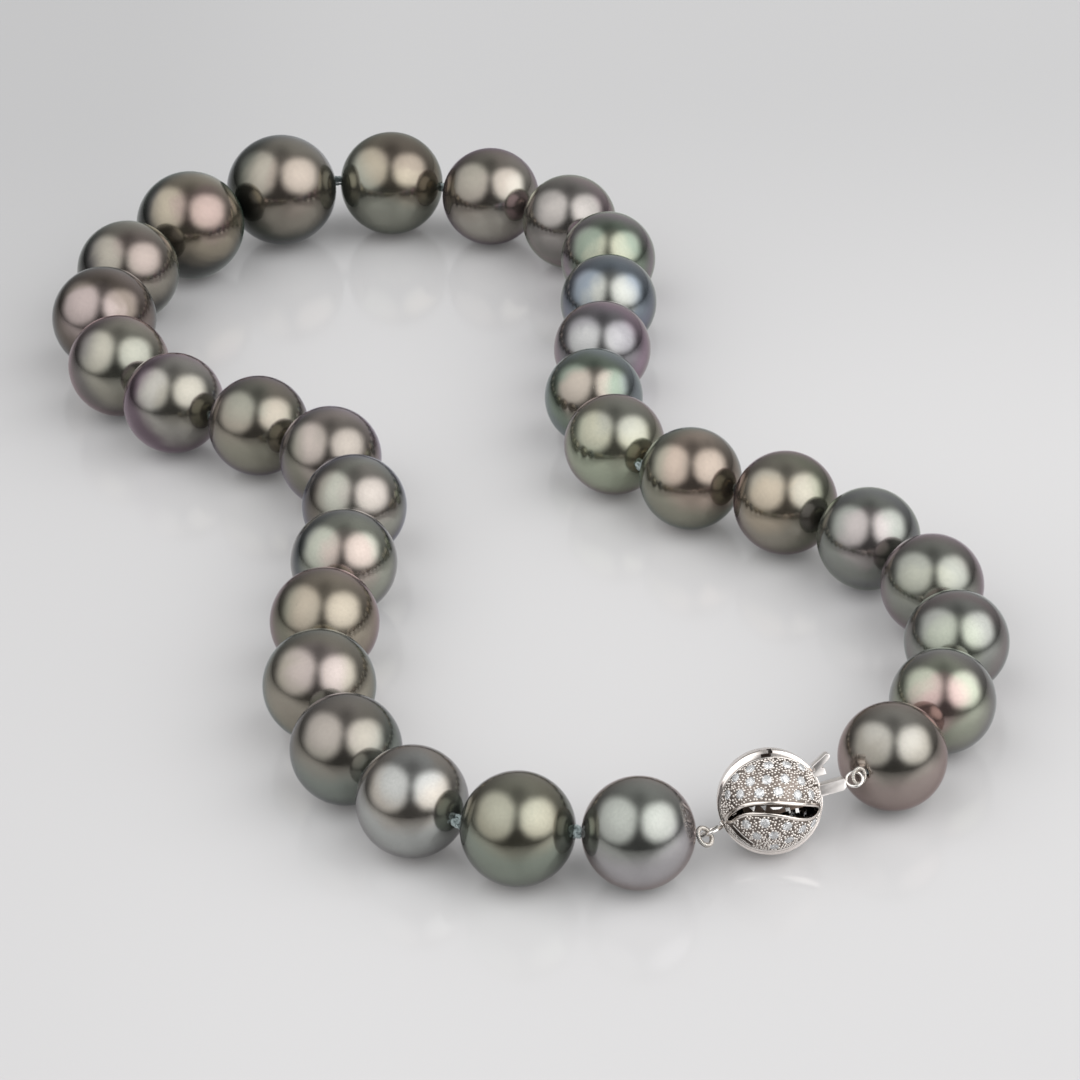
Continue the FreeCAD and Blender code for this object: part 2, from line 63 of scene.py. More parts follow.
class Tree:
    """A small way to write node trees: every call returns an output socket."""

    def __init__(self, tree):
        self.t = tree
        self.k = 0

    def new(self, kind, **props):
        n = self.t.nodes.new(kind)
        n.location = ((self.k % 8) * 190, -(self.k // 8) * 210)
        self.k += 1
        for key, value in props.items():
            setattr(n, key, value)
        return n

    def put(self, socket, value):
        if isinstance(value, bpy.types.NodeSocket):
            self.t.links.new(value, socket)
        elif isinstance(value, (tuple, list)) and len(value) == 3 and socket.type == "RGBA":
            socket.default_value = (*value, 1)
        else:
            socket.default_value = value

    def math(self, op, a, b=0.0, c=None, clamp=False):
        n = self.new("ShaderNodeMath", operation=op, use_clamp=clamp)
        self.put(n.inputs[0], a)
        self.put(n.inputs[1], b)
        if c is not None:
            self.put(n.inputs[2], c)
        return n.outputs[0]

    def add(self, a, b): return self.math("ADD", a, b)
    def sub(self, a, b): return self.math("SUBTRACT", a, b)
    def mul(self, a, b): return self.math("MULTIPLY", a, b)
    def mad(self, a, b, c): return self.math("MULTIPLY_ADD", a, b, c)
    def most(self, a, b): return self.math("MAXIMUM", a, b)
    def least(self, a, b): return self.math("MINIMUM", a, b)
    def absv(self, a): return self.math("ABSOLUTE", a)

    def vmath(self, op, a, b=None, scale=None):
        n = self.new("ShaderNodeVectorMath", operation=op)
        self.put(n.inputs[0], a)
        if b is not None:
            self.put(n.inputs[1], b)
        if scale is not None:
            self.put(n.inputs["Scale"], scale)
        return n.outputs["Value"] if op in ("DOT_PRODUCT", "LENGTH", "DISTANCE") else n.outputs["Vector"]

    def dot(self, a, b): return self.vmath("DOT_PRODUCT", a, b)

    def step(self, x, low, high, to_low=0.0, to_high=1.0):
        """Smooth step of x from low to high."""
        n = self.new("ShaderNodeMapRange", interpolation_type="SMOOTHSTEP")
        self.put(n.inputs[0], x)
        self.put(n.inputs[1], low)
        self.put(n.inputs[2], high)
        self.put(n.inputs[3], to_low)
        self.put(n.inputs[4], to_high)
        return n.outputs[0]

    def remap(self, x, low, high, to_low, to_high):
        n = self.new("ShaderNodeMapRange")
        for k, v in enumerate((x, low, high, to_low, to_high)):
            self.put(n.inputs[k], v)
        return n.outputs[0]

    def mix(self, f, a, b, blend="MIX"):
        n = self.new("ShaderNodeMix", data_type="RGBA", blend_type=blend)
        self.put(n.inputs["Factor"], f)
        self.put(n.inputs[6], a)
        self.put(n.inputs[7], b)
        return n.outputs[2]

    def noise(self, vec, scale, detail=3.0, rough=0.5, distortion=0.0):
        n = self.new("ShaderNodeTexNoise")
        self.put(n.inputs["Vector"], vec)
        self.put(n.inputs["Scale"], scale)
        self.put(n.inputs["Detail"], detail)
        self.put(n.inputs["Roughness"], rough)
        self.put(n.inputs["Distortion"], distortion)
        return n.outputs["Fac"]

    def voronoi(self, vec, scale, feature="F1"):
        n = self.new("ShaderNodeTexVoronoi", feature=feature)
        self.put(n.inputs["Vector"], vec)
        self.put(n.inputs["Scale"], scale)
        return n.outputs["Distance"]

    def mm(self, offset=(0, 0, 0)):
        """Object coordinates in millimetres, moved by offset."""
        tc = self.new("ShaderNodeTexCoord")
        v = self.vmath("SCALE", tc.outputs["Object"], scale=1000.0)
        return self.vmath("ADD", v, offset)

    def bump(self, height, strength, distance, normal=None):
        n = self.new("ShaderNodeBump")
        self.put(n.inputs["Strength"], strength)
        self.put(n.inputs["Distance"], distance)
        self.put(n.inputs["Height"], height)
        if normal is not None:
            self.put(n.inputs["Normal"], normal)
        return n.outputs["Normal"]


def material(name):
    m = bpy.data.materials.new(name)
    m.use_nodes = True
    tree = Tree(m.node_tree)
    return m, tree, m.node_tree.nodes["Principled BSDF"]


# ---------------------------------------------------------------------------
# Materials
# ---------------------------------------------------------------------------

# Each pearl's colours in linear light: the middle of its lustre, the zone round that, and its
# sides; then the way its first zone faces. Partly the nacre's own orient colours, partly painted light:
# the first zone faces the lit side towards the camera and carries a painted highlight colour,
# and the sides carry painted rim light and shade, nearly black on pearls 16, 17, 18 and 25.
NACRE_AND_PAINTED_LIGHT = [
    ((0.263, 0.253, 0.227), (0.2, 0.187, 0.161), (0.286, 0.236, 0.217), (0.0, -0.42, 0.91)),
    ((0.347, 0.257, 0.239), (0.279, 0.294, 0.234), (0.196, 0.178, 0.171), (-0.2, -0.85, 0.49)),
    ((0.264, 0.282, 0.233), (0.207, 0.212, 0.196), (0.208, 0.161, 0.165), (-0.2, -0.85, 0.49)),
    ((0.245, 0.251, 0.21), (0.208, 0.215, 0.19), (0.167, 0.149, 0.137), (-0.2, -0.85, 0.49)),
    ((0.284, 0.258, 0.251), (0.208, 0.217, 0.198), (0.175, 0.173, 0.19), (-0.2, -0.85, 0.49)),
    ((0.309, 0.267, 0.207), (0.252, 0.236, 0.194), (0.175, 0.184, 0.135), (-0.41, -0.79, 0.46)),
    ((0.227, 0.187, 0.155), (0.321, 0.26, 0.215), (0.233, 0.228, 0.18), (0.41, -0.62, 0.67)),
    ((0.23, 0.232, 0.197), (0.281, 0.278, 0.214), (0.319, 0.353, 0.268), (0.2, -0.41, 0.89)),
    ((0.279, 0.245, 0.209), (0.157, 0.19, 0.152), (0.195, 0.214, 0.234), (-0.2, -0.85, 0.49)),
    ((0.286, 0.286, 0.284), (0.175, 0.169, 0.18), (0.27, 0.197, 0.251), (-0.2, -0.85, 0.49)),
    ((0.278, 0.284, 0.262), (0.155, 0.18, 0.21), (0.181, 0.176, 0.243), (0.0, -0.87, 0.5)),
    ((0.274, 0.278, 0.213), (0.156, 0.187, 0.149), (0.259, 0.188, 0.248), (0.0, -0.87, 0.5)),
    ((0.27, 0.25, 0.236), (0.195, 0.181, 0.171), (0.291, 0.211, 0.242), (-0.2, -0.85, 0.49)),
    ((0.2, 0.187, 0.156), (0.234, 0.208, 0.18), (0.336, 0.318, 0.278), (-0.41, -0.39, 0.83)),
    ((0.172, 0.144, 0.115), (0.24, 0.211, 0.162), (0.241, 0.246, 0.206), (0.41, -0.39, 0.83)),
    ((0.217, 0.185, 0.156), (0.237, 0.217, 0.181), (0.059, 0.062, 0.047), (0.41, -0.79, 0.46)),
    ((0.215, 0.162, 0.144), (0.252, 0.22, 0.169), (0.043, 0.042, 0.04), (0.41, -0.7, 0.59)),
    ((0.202, 0.167, 0.15), (0.219, 0.201, 0.17), (0.044, 0.04, 0.04), (0.41, -0.62, 0.67)),
    ((0.266, 0.22, 0.209), (0.127, 0.103, 0.086), (0.221, 0.178, 0.161), (-0.2, -0.85, 0.49)),
    ((0.199, 0.201, 0.169), (0.268, 0.257, 0.215), (0.126, 0.12, 0.112), (0.41, -0.79, 0.46)),
    ((0.23, 0.218, 0.185), (0.267, 0.257, 0.233), (0.109, 0.079, 0.096), (0.41, -0.79, 0.46)),
    ((0.182, 0.18, 0.148), (0.218, 0.195, 0.16), (0.241, 0.234, 0.186), (-0.2, -0.41, 0.89)),
    ((0.211, 0.188, 0.165), (0.281, 0.245, 0.22), (0.17, 0.164, 0.13), (0.41, -0.7, 0.59)),
    ((0.254, 0.229, 0.207), (0.263, 0.263, 0.226), (0.135, 0.119, 0.098), (0.41, -0.7, 0.59)),
    ((0.289, 0.242, 0.215), (0.268, 0.277, 0.233), (0.057, 0.07, 0.077), (0.2, -0.85, 0.49)),
    ((0.231, 0.204, 0.161), (0.254, 0.221, 0.174), (0.162, 0.159, 0.12), (0.41, -0.7, 0.59)),
    ((0.268, 0.23, 0.214), (0.238, 0.216, 0.179), (0.294, 0.267, 0.214), (0.0, -0.68, 0.73)),
    ((0.226, 0.204, 0.182), (0.208, 0.193, 0.165), (0.203, 0.225, 0.2), (-0.2, -0.41, 0.89)),
    ((0.266, 0.269, 0.26), (0.279, 0.257, 0.227), (0.341, 0.352, 0.339), (0.0, -0.42, 0.91)),
    ((0.223, 0.22, 0.173), (0.205, 0.196, 0.15), (0.198, 0.224, 0.185), (0.0, -0.42, 0.91)),
    ((0.243, 0.255, 0.233), (0.228, 0.235, 0.217), (0.341, 0.331, 0.339), (-0.2, -0.41, 0.89)),
]


def nacre(i):
    c0, c1, c2, turn = NACRE_AND_PAINTED_LIGHT[i - 1]
    m, t, b = material("nacre_%02d" % i)
    seed = (3.7 * i, 11.3 * i, -5.9 * i)
    p = t.mm()
    ps = t.mm(seed)
    way = t.vmath("NORMALIZE", p)
    # broad clouds in the nacre bend the edges of its colour zones
    cloud = t.noise(ps, 0.16, 2.0, 0.5, 0.6)
    # painted light: the zone facing turn, the lit side towards the camera, gets the painted highlight colour c0; the
    # sides get the painted rim light and shade c2
    face = t.absv(t.dot(way, tuple(unit(turn))))
    zone = t.mad(t.sub(cloud, 0.5), 0.42, face)
    outer = t.step(zone, 0.30, 0.72)
    inner = t.step(zone, 0.74, 0.97)
    colour = t.mix(inner, t.mix(outer, c2, c1), c0)
    # fine mottling, like very small overlapping plates
    fine = t.noise(ps, 3.2, 4.0, 0.6)
    colour = t.mix(1.0, colour, t.mix(t.remap(fine, 0.3, 0.7, 0.0, 1.0), (0.955, 0.955, 0.955), (1.04, 1.04, 1.035)), "MULTIPLY")
    # a few small growth marks
    cell = t.voronoi(ps, 0.34)
    pit = t.step(cell, 0.0, 0.055, 1.0, 0.0)
    colour = t.mix(t.mul(pit, 0.35), colour, (0.10, 0.10, 0.085))
    t.put(b.inputs["Base Color"], colour)
    b.inputs["Metallic"].default_value = 0.92
    t.put(b.inputs["Roughness"], t.remap(t.noise(ps, 0.9, 3.0), 0.3, 0.7, 0.13, 0.19))
    b.inputs["Specular Tint"].default_value = (*RIM_TINT[i - 1], 1)
    b.inputs["Coat Weight"].default_value = 0.35
    b.inputs["Coat Roughness"].default_value = 0.06
    b.inputs["Coat IOR"].default_value = 1.53
    b.inputs["Sheen Weight"].default_value = 0.10
    b.inputs["Sheen Roughness"].default_value = 0.35
    b.inputs["Sheen Tint"].default_value = (*SHEEN[i - 1], 1)
    wave = t.noise(ps, 0.45, 2.0, 0.45)
    grain = t.noise(ps, 9.0, 3.0, 0.6)
    n1 = t.bump(wave, 0.35, 0.00006)
    n2 = t.bump(grain, 0.12, 0.000004, n1)
    n3 = t.bump(t.math("SUBTRACT", 1.0, pit), 0.5, 0.00002, n2)
    t.put(b.inputs["Normal"], n3)
    return m


RIM_TINT = [
    (0.69, 0.59, 0.59),
    (0.75, 0.79, 0.79),
    (0.68, 0.76, 0.74),
    (0.82, 0.72, 0.8),
    (0.71, 0.75, 0.67),
    (0.66, 0.55, 0.62),
    (0.51, 0.55, 0.56),
    (0.57, 0.48, 0.54),
    (0.65, 0.7, 0.68),
    (0.75, 0.73, 0.7),
    (0.71, 0.76, 0.66),
    (0.7, 0.81, 0.67),
    (0.67, 0.77, 0.65),
    (0.43, 0.36, 0.44),
    (0.49, 0.51, 0.5),
    (0.91, 0.91, 0.95),
    (1.0, 1.0, 1.0),
    (0.99, 1.0, 0.98),
    (0.58, 0.61, 0.63),
    (0.9, 0.75, 0.79),
    (0.98, 0.86, 0.94),
    (0.52, 0.47, 0.56),
    (0.75, 0.69, 0.83),
    (0.64, 0.65, 0.76),
    (1.0, 0.96, 0.95),
    (0.75, 0.62, 0.69),
    (0.45, 0.5, 0.53),
    (0.52, 0.51, 0.54),
    (0.52, 0.49, 0.51),
    (0.55, 0.53, 0.55),
    (0.59, 0.5, 0.49),
]
SHEEN = [
    (0.7, 0.61, 0.6),
    (0.6, 0.68, 0.64),
    (0.57, 0.71, 0.64),
    (0.64, 0.61, 0.66),
    (0.62, 0.72, 0.58),
    (0.77, 0.52, 0.65),
    (0.55, 0.68, 0.68),
    (0.72, 0.52, 0.68),
    (0.6, 0.69, 0.63),
    (0.64, 0.66, 0.62),
    (0.6, 0.73, 0.59),
    (0.59, 0.77, 0.57),
    (0.58, 0.76, 0.57),
    (0.66, 0.55, 0.7),
    (0.61, 0.69, 0.62),
    (0.54, 0.68, 0.7),
    (0.48, 0.83, 0.64),
    (0.55, 0.75, 0.61),
    (0.58, 0.68, 0.65),
    (0.79, 0.54, 0.6),
    (0.7, 0.59, 0.64),
    (0.63, 0.54, 0.74),
    (0.62, 0.54, 0.77),
    (0.49, 0.61, 0.84),
    (0.63, 0.66, 0.62),
    (0.72, 0.55, 0.66),
    (0.53, 0.69, 0.71),
    (0.61, 0.63, 0.67),
    (0.62, 0.63, 0.65),
    (0.64, 0.62, 0.65),
    (0.72, 0.62, 0.57),
]


def white_gold(name, base=(0.80, 0.775, 0.745), rough=(0.07, 0.16), scratch=0.25, dark=0.0, lustre=1.0):
    """Polished white gold: fine polishing lines, soft wear and small darker specks scattered at random."""
    m, t, b = material(name)
    p = t.mm()
    cloud = t.noise(p, 0.9, 3.0, 0.55)
    stretched = t.vmath("MULTIPLY", p, (1.0, 9.0, 3.0))
    line = t.noise(stretched, 4.0, 4.0, 0.65)
    colour = t.mix(t.remap(cloud, 0.3, 0.7, 0.0, 1.0), tuple(c * 0.93 for c in base), base)
    speck = t.step(t.noise(p, 14.0, 2.0, 0.6), 0.62, 0.75)
    colour = t.mix(t.mul(speck, 0.22 + dark), colour, tuple(c * 0.45 for c in base))
    t.put(b.inputs["Base Color"], colour)
    b.inputs["Metallic"].default_value = lustre
    t.put(b.inputs["Roughness"], t.remap(t.add(t.mul(cloud, 0.5), t.mul(line, 0.5)), 0.3, 0.7, *rough))
    b.inputs["Specular Tint"].default_value = (0.96, 0.95, 0.94, 1)
    n1 = t.bump(line, scratch, 0.0000025)
    n2 = t.bump(t.noise(p, 2.2, 3.0), 0.25, 0.00001, n1)
    t.put(b.inputs["Normal"], n2)
    return m


def diamond(name):
    m, t, b = material(name)
    p = t.mm()
    veil = t.noise(p, 2.4, 3.0, 0.6)
    t.put(b.inputs["Base Color"], t.mix(veil, (0.96, 0.97, 0.985), (1.0, 1.0, 1.0)))
    t.put(b.inputs["Roughness"], t.remap(t.noise(p, 6.0, 2.0), 0.3, 0.7, 0.0, 0.03))
    b.inputs["IOR"].default_value = 2.0
    b.inputs["Transmission Weight"].default_value = 0.72
    b.inputs["Specular IOR Level"].default_value = 0.65
    b.inputs["Coat Weight"].default_value = 0.6
    b.inputs["Coat IOR"].default_value = 2.2
    b.inputs["Coat Roughness"].default_value = 0.01
    return m


def silk(name):
    """Twisted silk thread, pale blue-green grey."""
    m, t, b = material(name)
    p = t.mm()
    strand = t.noise(t.vmath("MULTIPLY", p, (1.0, 1.0, 1.0)), 9.0, 4.0, 0.65)
    tone = t.noise(p, 2.1, 2.0)
    colour = t.mix(t.remap(strand, 0.3, 0.7, 0.0, 1.0), (0.20, 0.255, 0.262), (0.50, 0.575, 0.575))
    colour = t.mix(t.remap(tone, 0.3, 0.7, 0.0, 0.5), colour, (0.36, 0.42, 0.43))
    t.put(b.inputs["Base Color"], colour)
    t.put(b.inputs["Roughness"], t.remap(strand, 0.3, 0.7, 0.42, 0.62))
    b.inputs["Sheen Weight"].default_value = 0.5
    b.inputs["Sheen Roughness"].default_value = 0.3
    b.inputs["Sheen Tint"].default_value = (0.85, 0.93, 0.93, 1)
    t.put(b.inputs["Normal"], t.bump(strand, 0.6, 0.00003))
    return m


# ---------------------------------------------------------------------------
# Mesh helpers
# ---------------------------------------------------------------------------
scene_root = bpy.context.scene.collection


def piece(name, verts, faces, mats, body, at=None, smooth=True, sharp=None, index=None):
    """A mesh object from points in metres, riding on a body. at is the object's own origin."""
    me = bpy.data.meshes.new(name)
    v = np.asarray(verts, float)
    if at is not None:
        v = v - np.asarray(at, float)
    me.from_pydata(v.tolist(), [], [list(f) for f in faces])
    me.validate(clean_customdata=False)
    for mt in mats if isinstance(mats, (list, tuple)) else [mats]:
        me.materials.append(mt)
    if index is not None:
        me.polygons.foreach_set("material_index", np.asarray(index, np.int32))
    me.polygons.foreach_set("use_smooth", np.full(len(me.polygons), bool(smooth)))
    if sharp is not None:
        me.set_sharp_from_angle(angle=math.radians(sharp))
    me.update()
    o = bpy.data.objects.new(name, me)
    scene_root.objects.link(o)
    if at is not None:
        o.location = Vector(at)
    bpy.context.view_layer.update()
    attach(o, body)
    return o


def joined(parts):
    """[(verts, faces)] as one."""
    V, F, n = [], [], 0
    for v, f in parts:
        v = np.asarray(v, float)
        V.append(v)
        F.extend([tuple(int(i) + n for i in q) for q in f])
        n += len(v)
    return np.concatenate(V), F


def tube(points, radius, sides=12, closed=False, up=None, caps=True):
    """A round tube along points, carried by a frame that doesn't twist. radius is a number or one per point."""
    P = np.asarray(points, float)
    n = len(P)
    r = np.full(n, radius, float) if np.isscalar(radius) else np.asarray(radius, float)
    if closed:
        T = np.roll(P, -1, 0) - np.roll(P, 1, 0)
    else:
        T = np.gradient(P, axis=0)
    T /= np.linalg.norm(T, axis=1)[:, None]
    a = unit(up if up is not None else (np.cross(T[0], [0.31, 0.57, 0.76])))
    N = []
    for k in range(n):
        a = a - T[k] * (a @ T[k])
        a = unit(a)
        N.append(a.copy())
    N = np.array(N)
    B = np.cross(T, N)
    if closed:
        # the turn left over after one round is spread along it
        e = N[0] - T[-1] * (N[0] @ T[-1])
        e = unit(e)
        ang = math.atan2(e @ B[-1], e @ N[-1])
        w = ang * np.arange(n) / n
        N, B = (np.cos(w)[:, None] * N + np.sin(w)[:, None] * B), (np.cos(w)[:, None] * B - np.sin(w)[:, None] * N)
    q = 2 * math.pi * np.arange(sides) / sides
    V = P[:, None, :] + r[:, None, None] * (np.cos(q)[None, :, None] * N[:, None, :] + np.sin(q)[None, :, None] * B[:, None, :])
    V = V.reshape(-1, 3)
    F = []
    for k in range(n if closed else n - 1):
        k2 = (k + 1) % n
        for s in range(sides):
            s2 = (s + 1) % sides
            F.append((k * sides + s, k * sides + s2, k2 * sides + s2, k2 * sides + s))
    if not closed and caps:
        F.append(tuple(range(sides))[::-1])
        F.append(tuple((n - 1) * sides + s for s in range(sides)))
    return V, F


def node_points(name):
    me = frame["nodes"][name].data
    co = np.zeros(len(me.vertices) * 3, np.float32)
    me.vertices.foreach_get("co", co)
    return co.reshape(-1, 3).astype(float)


# ---------------------------------------------------------------------------
# Where the beads are: each from its own CAD node
# ---------------------------------------------------------------------------


def fit_ball(P):
    keep = np.ones(len(P), bool)
    for _ in range(12):
        Q = P[keep]
        A = np.c_[2 * Q, np.ones(len(Q))]
        s = np.linalg.lstsq(A, (Q ** 2).sum(1), rcond=None)[0]
        c = s[:3]
        r = math.sqrt(s[3] + c @ c)
        e = np.abs(np.linalg.norm(P - c, axis=1) - r)
        new = e < max(0.00001, np.percentile(e, 60) * 1.5)
        if (new == keep).all():
            break
        keep = new
    return c, r


bead = {}
knot_at = {k: np.array(joints["knot_%02d" % k]["pos_m"], float) for k in range(1, BEADS)}
for i in range(1, BEADS + 1):
    P = node_points("pearl_%02d" % i)
    c, r = fit_ball(P)
    # the thread's cut end is a ring just inside the drill mouth
    d = np.linalg.norm(P - c, axis=1)
    ring = P[(d > r - 0.000026) & (d < r - 0.000008)]
    if i > 1:
        side = unit(knot_at[i - 1] - c)
        ring = ring[(ring - c) @ side > 0]
    m0 = (ring.min(0) + ring.max(0)) / 2
    axis = unit(c - m0)
    bead[i] = (c, r, axis)
    assert len(ring) >= 6, i

DRILL = 0.00045

# ---------------------------------------------------------------------------
# Pearls
# ---------------------------------------------------------------------------


def pearl_mesh(i):
    """A drilled pearl: a little out of round, with softly broken drill mouths."""
    c, r, ax = bead[i]
    side = unit(np.cross(ax, [0.2, 0.1, 1.0]))
    other = np.cross(ax, side)
    seg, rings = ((96, 60))
    lobes = [(unit([rnd.uniform(-1, 1) for _ in range(3)]), rnd.uniform(-1, 1), rnd.choice((2, 3, 3, 4))) for _ in range(7)]
    hole = math.asin(DRILL / r)
    th = [hole * 0.985, hole * 1.03, hole * 1.10, hole * 1.22, hole * 1.45]
    th += list(np.linspace(hole * 1.9, math.pi - hole * 1.9, rings))
    th += [math.pi - x for x in (hole * 1.45, hole * 1.22, hole * 1.10, hole * 1.03, hole * 0.985)]
    dips = [0.00009, 0.00004, 0.000018, 0.000006, 0.0] + [0.0] * rings + [0.0, 0.000006, 0.000018, 0.00004, 0.00009]
    # walls of the hole
    V = []
    deep = [(-r + 0.0012), ]
    q = 2 * math.pi * np.arange(seg) / seg
    rim = np.cos(q)[:, None] * side + np.sin(q)[:, None] * other
    V.append(c + ax * (-(r - 0.0020)) + rim * DRILL * 0.97)
    for t_, dip in zip(th, dips):
        n = -math.cos(t_) * ax[None, :] + math.sin(t_) * rim
        w = np.zeros(seg)
        for l_, a_, k_ in lobes:
            w += a_ * (n @ l_) ** k_
        rad = r * (1 - 0.0016 + 0.0011 * np.tanh(w)) - dip
        V.append(c + n * rad[:, None])
    V.append(c + ax * (r - 0.0020) + rim * DRILL * 0.97)
    rows = len(V)
    F = []
    for k in range(rows - 1):
        for s in range(seg):
            s2 = (s + 1) % seg
            F.append((k * seg + s, k * seg + s2, (k + 1) * seg + s2, (k + 1) * seg + s))
    return np.concatenate(V), F


SILK = silk("silk")


def twisted(a, b, radius, turns_per_mm=0.9, strands=3, sides=8):
    """A cord of three twisted strands from a to b."""
    a, b = np.asarray(a, float), np.asarray(b, float)
    L = np.linalg.norm(b - a)
    ax = (b - a) / L
    s = unit(np.cross(ax, [0.13, 0.2, 1.0]))
    o = np.cross(ax, s)
    n = max(10, int(L / 0.00012))
    u = np.linspace(0, 1, n)
    parts = []
    for k in range(strands):
        ph = 2 * math.pi * (turns_per_mm * L * 1000 * u + k / strands)
        C = a + np.outer(u * L, ax) + radius * 0.5 * (np.outer(np.cos(ph), s) + np.outer(np.sin(ph), o))
        parts.append(tube(C, radius * 0.53, sides))
    return joined(parts)


# knots drawn up smaller, where the next pearl turns close by
SNUG = {6: 0.80, 10: 0.88, 21: 0.84, 24: 0.84, 25: 0.90}


def knot_mesh(i):
    """The overhand knot after bead i: one strand pair pulled tight into a lump that fills the gap."""
    c1, r1, _ = bead[i]
    c2, r2, _ = bead[i + 1]
    k = knot_at[i]
    ax = unit(c2 - c1)
    g1 = (k - c1) @ ax
    gap = np.linalg.norm(c2 - c1) - r1 - r2
    # along the line of centres, where the surfaces are
    s1 = r1 - g1
    mid = k + ax * (s1 + (gap) / 2)
    # keep the knot's own place off the line of centres
    off = (k - c1) - ax * ((k - c1) @ ax)
    mid = c1 + ax * (r1 + gap / 2) + off
    off_mm = np.linalg.norm(off)
    room = gap / 2 + off_mm ** 2 * (1 / (2 * r1) + 1 / (2 * r2)) / 1.0
    s = unit(np.cross(ax, [0.1, 0.05, 1.0]))
    o = np.cross(ax, s)
    turn = rnd.uniform(0, 2 * math.pi)
    wide = rnd.uniform(0.92, 1.08)
    snug = SNUG.get(i, 1.0)
    room *= snug
    wide *= snug
    thick = max(0.00011, min(0.00019, room * 0.62))
    n = 90
    t = 2 * math.pi * np.arange(n) / n
    x = np.sin(t) + 2 * np.sin(2 * t)
    y = np.cos(t) - 2 * np.cos(2 * t)
    z = -np.sin(3 * t)
    rad = 0.00056 * wide / 3.0
    amp = max(0.00004, room - thick * 0.75)
    ca, sa = math.cos(turn), math.sin(turn)
    X = (x * ca - y * sa) * rad
    Y = (x * sa + y * ca) * rad * 1.12
    C = mid + np.outer(X, s) + np.outer(Y, o) + np.outer(z * amp, ax)
    parts = []
    # two plies twisted round each other make the strand
    T = np.roll(C, -1, 0) - np.roll(C, 1, 0)
    T /= np.linalg.norm(T, axis=1)[:, None]
    N = np.cross(T, ax)
    N /= np.linalg.norm(N, axis=1)[:, None]
    B = np.cross(T, N)
    ply = 9
    for k2 in range(2):
        ph = ply * t + k2 * math.pi
        D = C + thick * 0.42 * (np.cos(ph)[:, None] * N + np.sin(ph)[:, None] * B)
        parts.append(tube(D, thick * 0.66, 8, closed=True))
    # the heart of the knot
    parts.append(twisted(mid - ax * max(room, 0.00012), mid + ax * max(room, 0.00012), 0.00028, 1.6))
    return joined(parts)


for i in range(1, BEADS + 1):
    c, r, ax = bead[i]
    body = "bead_%02d" % i
    mat = nacre(i)
    v, f = pearl_mesh(i)
    o = piece("pearl_body_%02d" % i, v, f, mat, body, at=c, sharp=38)
    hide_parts("pearl_%02d" % i)
    # the silk in the hole, and its knot
    tail = 0.00008 if i < BEADS else -0.0006
    v, f = twisted(c - ax * (r - 0.0004), c + ax * (r + tail), 0.00034)
    piece("silk_%02d" % i, v, f, SILK, body, at=c, sharp=50)
    if i < BEADS:
        v, f = knot_mesh(i)
        piece("silk_knot_%02d" % i, v, f, SILK, body, at=c, sharp=60)

# ---------------------------------------------------------------------------
# Clasp: its own frame, from the tongue's slide and the leaf's hinge
# ---------------------------------------------------------------------------
CX = unit(joints["tongue_slide"]["axis"])
CY = unit(joints["spring_press"]["axis"])
CY = unit(CY - CX * (CY @ CX))
CZ = np.cross(CX, CY)
CC, BALL_R = fit_ball(node_points("clasp_belt"))
FOLD = np.array(joints["spring_press"]["pos_m"], float)
# the leaf's hinge is 2 mm behind the ball's centre and 0.48 mm under it
CC = FOLD + CX * 0.002 + CZ * 0.00048


def clasp(x, y, z):
    """A point of the clasp's own frame, in millimetres, as metres in the row frame."""
    return CC + (CX * x + CY * y + CZ * z) * MM


def clasp_all(P):
    P = np.asarray(P, float)
    return CC + (P[:, :1] * CX + P[:, 1:2] * CY + P[:, 2:3] * CZ) * MM


DOME, GIRDLE, BELT = 5.42, 5.36, 5.5
LONG, HIGH = 5.32, 4.86
STONE_D = 1.08
UPPER = [
    (-1.13, 4.21, 1.08), (0.78, 4.07, 1.08), (2.62, 3.55, 1.08), (-2.82, 3.67, 1.08),
    (-1.54, 3.05, 1.08), (0.16, 2.83, 1.08), (1.98, 2.39, 1.08), (3.58, 1.6, 1.08),
    (-4.1, 2.2, 1.08), (-2.88, 2.07, 1.08), (-0.98, 1.75, 1.08), (0.93, 1.35, 1.08),
    (2.78, 0.42, 1.08), (4.19, -0.1, 1.08), (4.05, 2.75, 1.08),
]
LOWER = [
    (-3.13, -1.09, 1.08), (-1.28, -1.37, 1.08), (0.85, -2.38, 1.08), (2.33, -3.25, 1.08),
    (-2.42, -2.58, 1.08), (-0.73, -2.95, 1.08), (0.71, -3.95, 1.08), (-0.95, -4.25, 1.08),
    (3.62, -3.15, 1.08),
]
BACK = [
    (-1.42, -4.15, 1.08), (0.0, -4.15, 1.08), (1.42, -4.15, 1.08), (-3.55, -2.85, 1.08),
    (-2.13, -2.85, 1.08), (-0.71, -2.85, 1.08), (0.71, -2.85, 1.08), (2.13, -2.85, 1.08),
    (3.55, -2.85, 1.08), (-4.26, -1.45, 1.08), (-2.84, -1.45, 1.08), (-1.42, -1.45, 1.08),
    (0.0, -1.45, 1.08), (1.42, -1.45, 1.08), (2.84, -1.45, 1.08), (4.26, -1.45, 1.08),
    (-3.55, 0.0, 1.08), (-2.13, 0.0, 1.08), (-0.71, 0.0, 1.08), (0.71, 0.0, 1.08),
    (2.13, 0.0, 1.08), (3.55, 0.0, 1.08), (-4.26, 1.45, 1.08), (-2.84, 1.45, 1.08),
    (-1.42, 1.45, 1.08), (0.0, 1.45, 1.08), (1.42, 1.45, 1.08), (2.84, 1.45, 1.08),
    (4.26, 1.45, 1.08), (-3.55, 2.85, 1.08), (-2.13, 2.85, 1.08), (-0.71, 2.85, 1.08),
    (0.71, 2.85, 1.08), (2.13, 2.85, 1.08), (3.55, 2.85, 1.08), (-1.42, 4.15, 1.08),
    (0.0, 4.15, 1.08), (1.42, 4.15, 1.08),
]
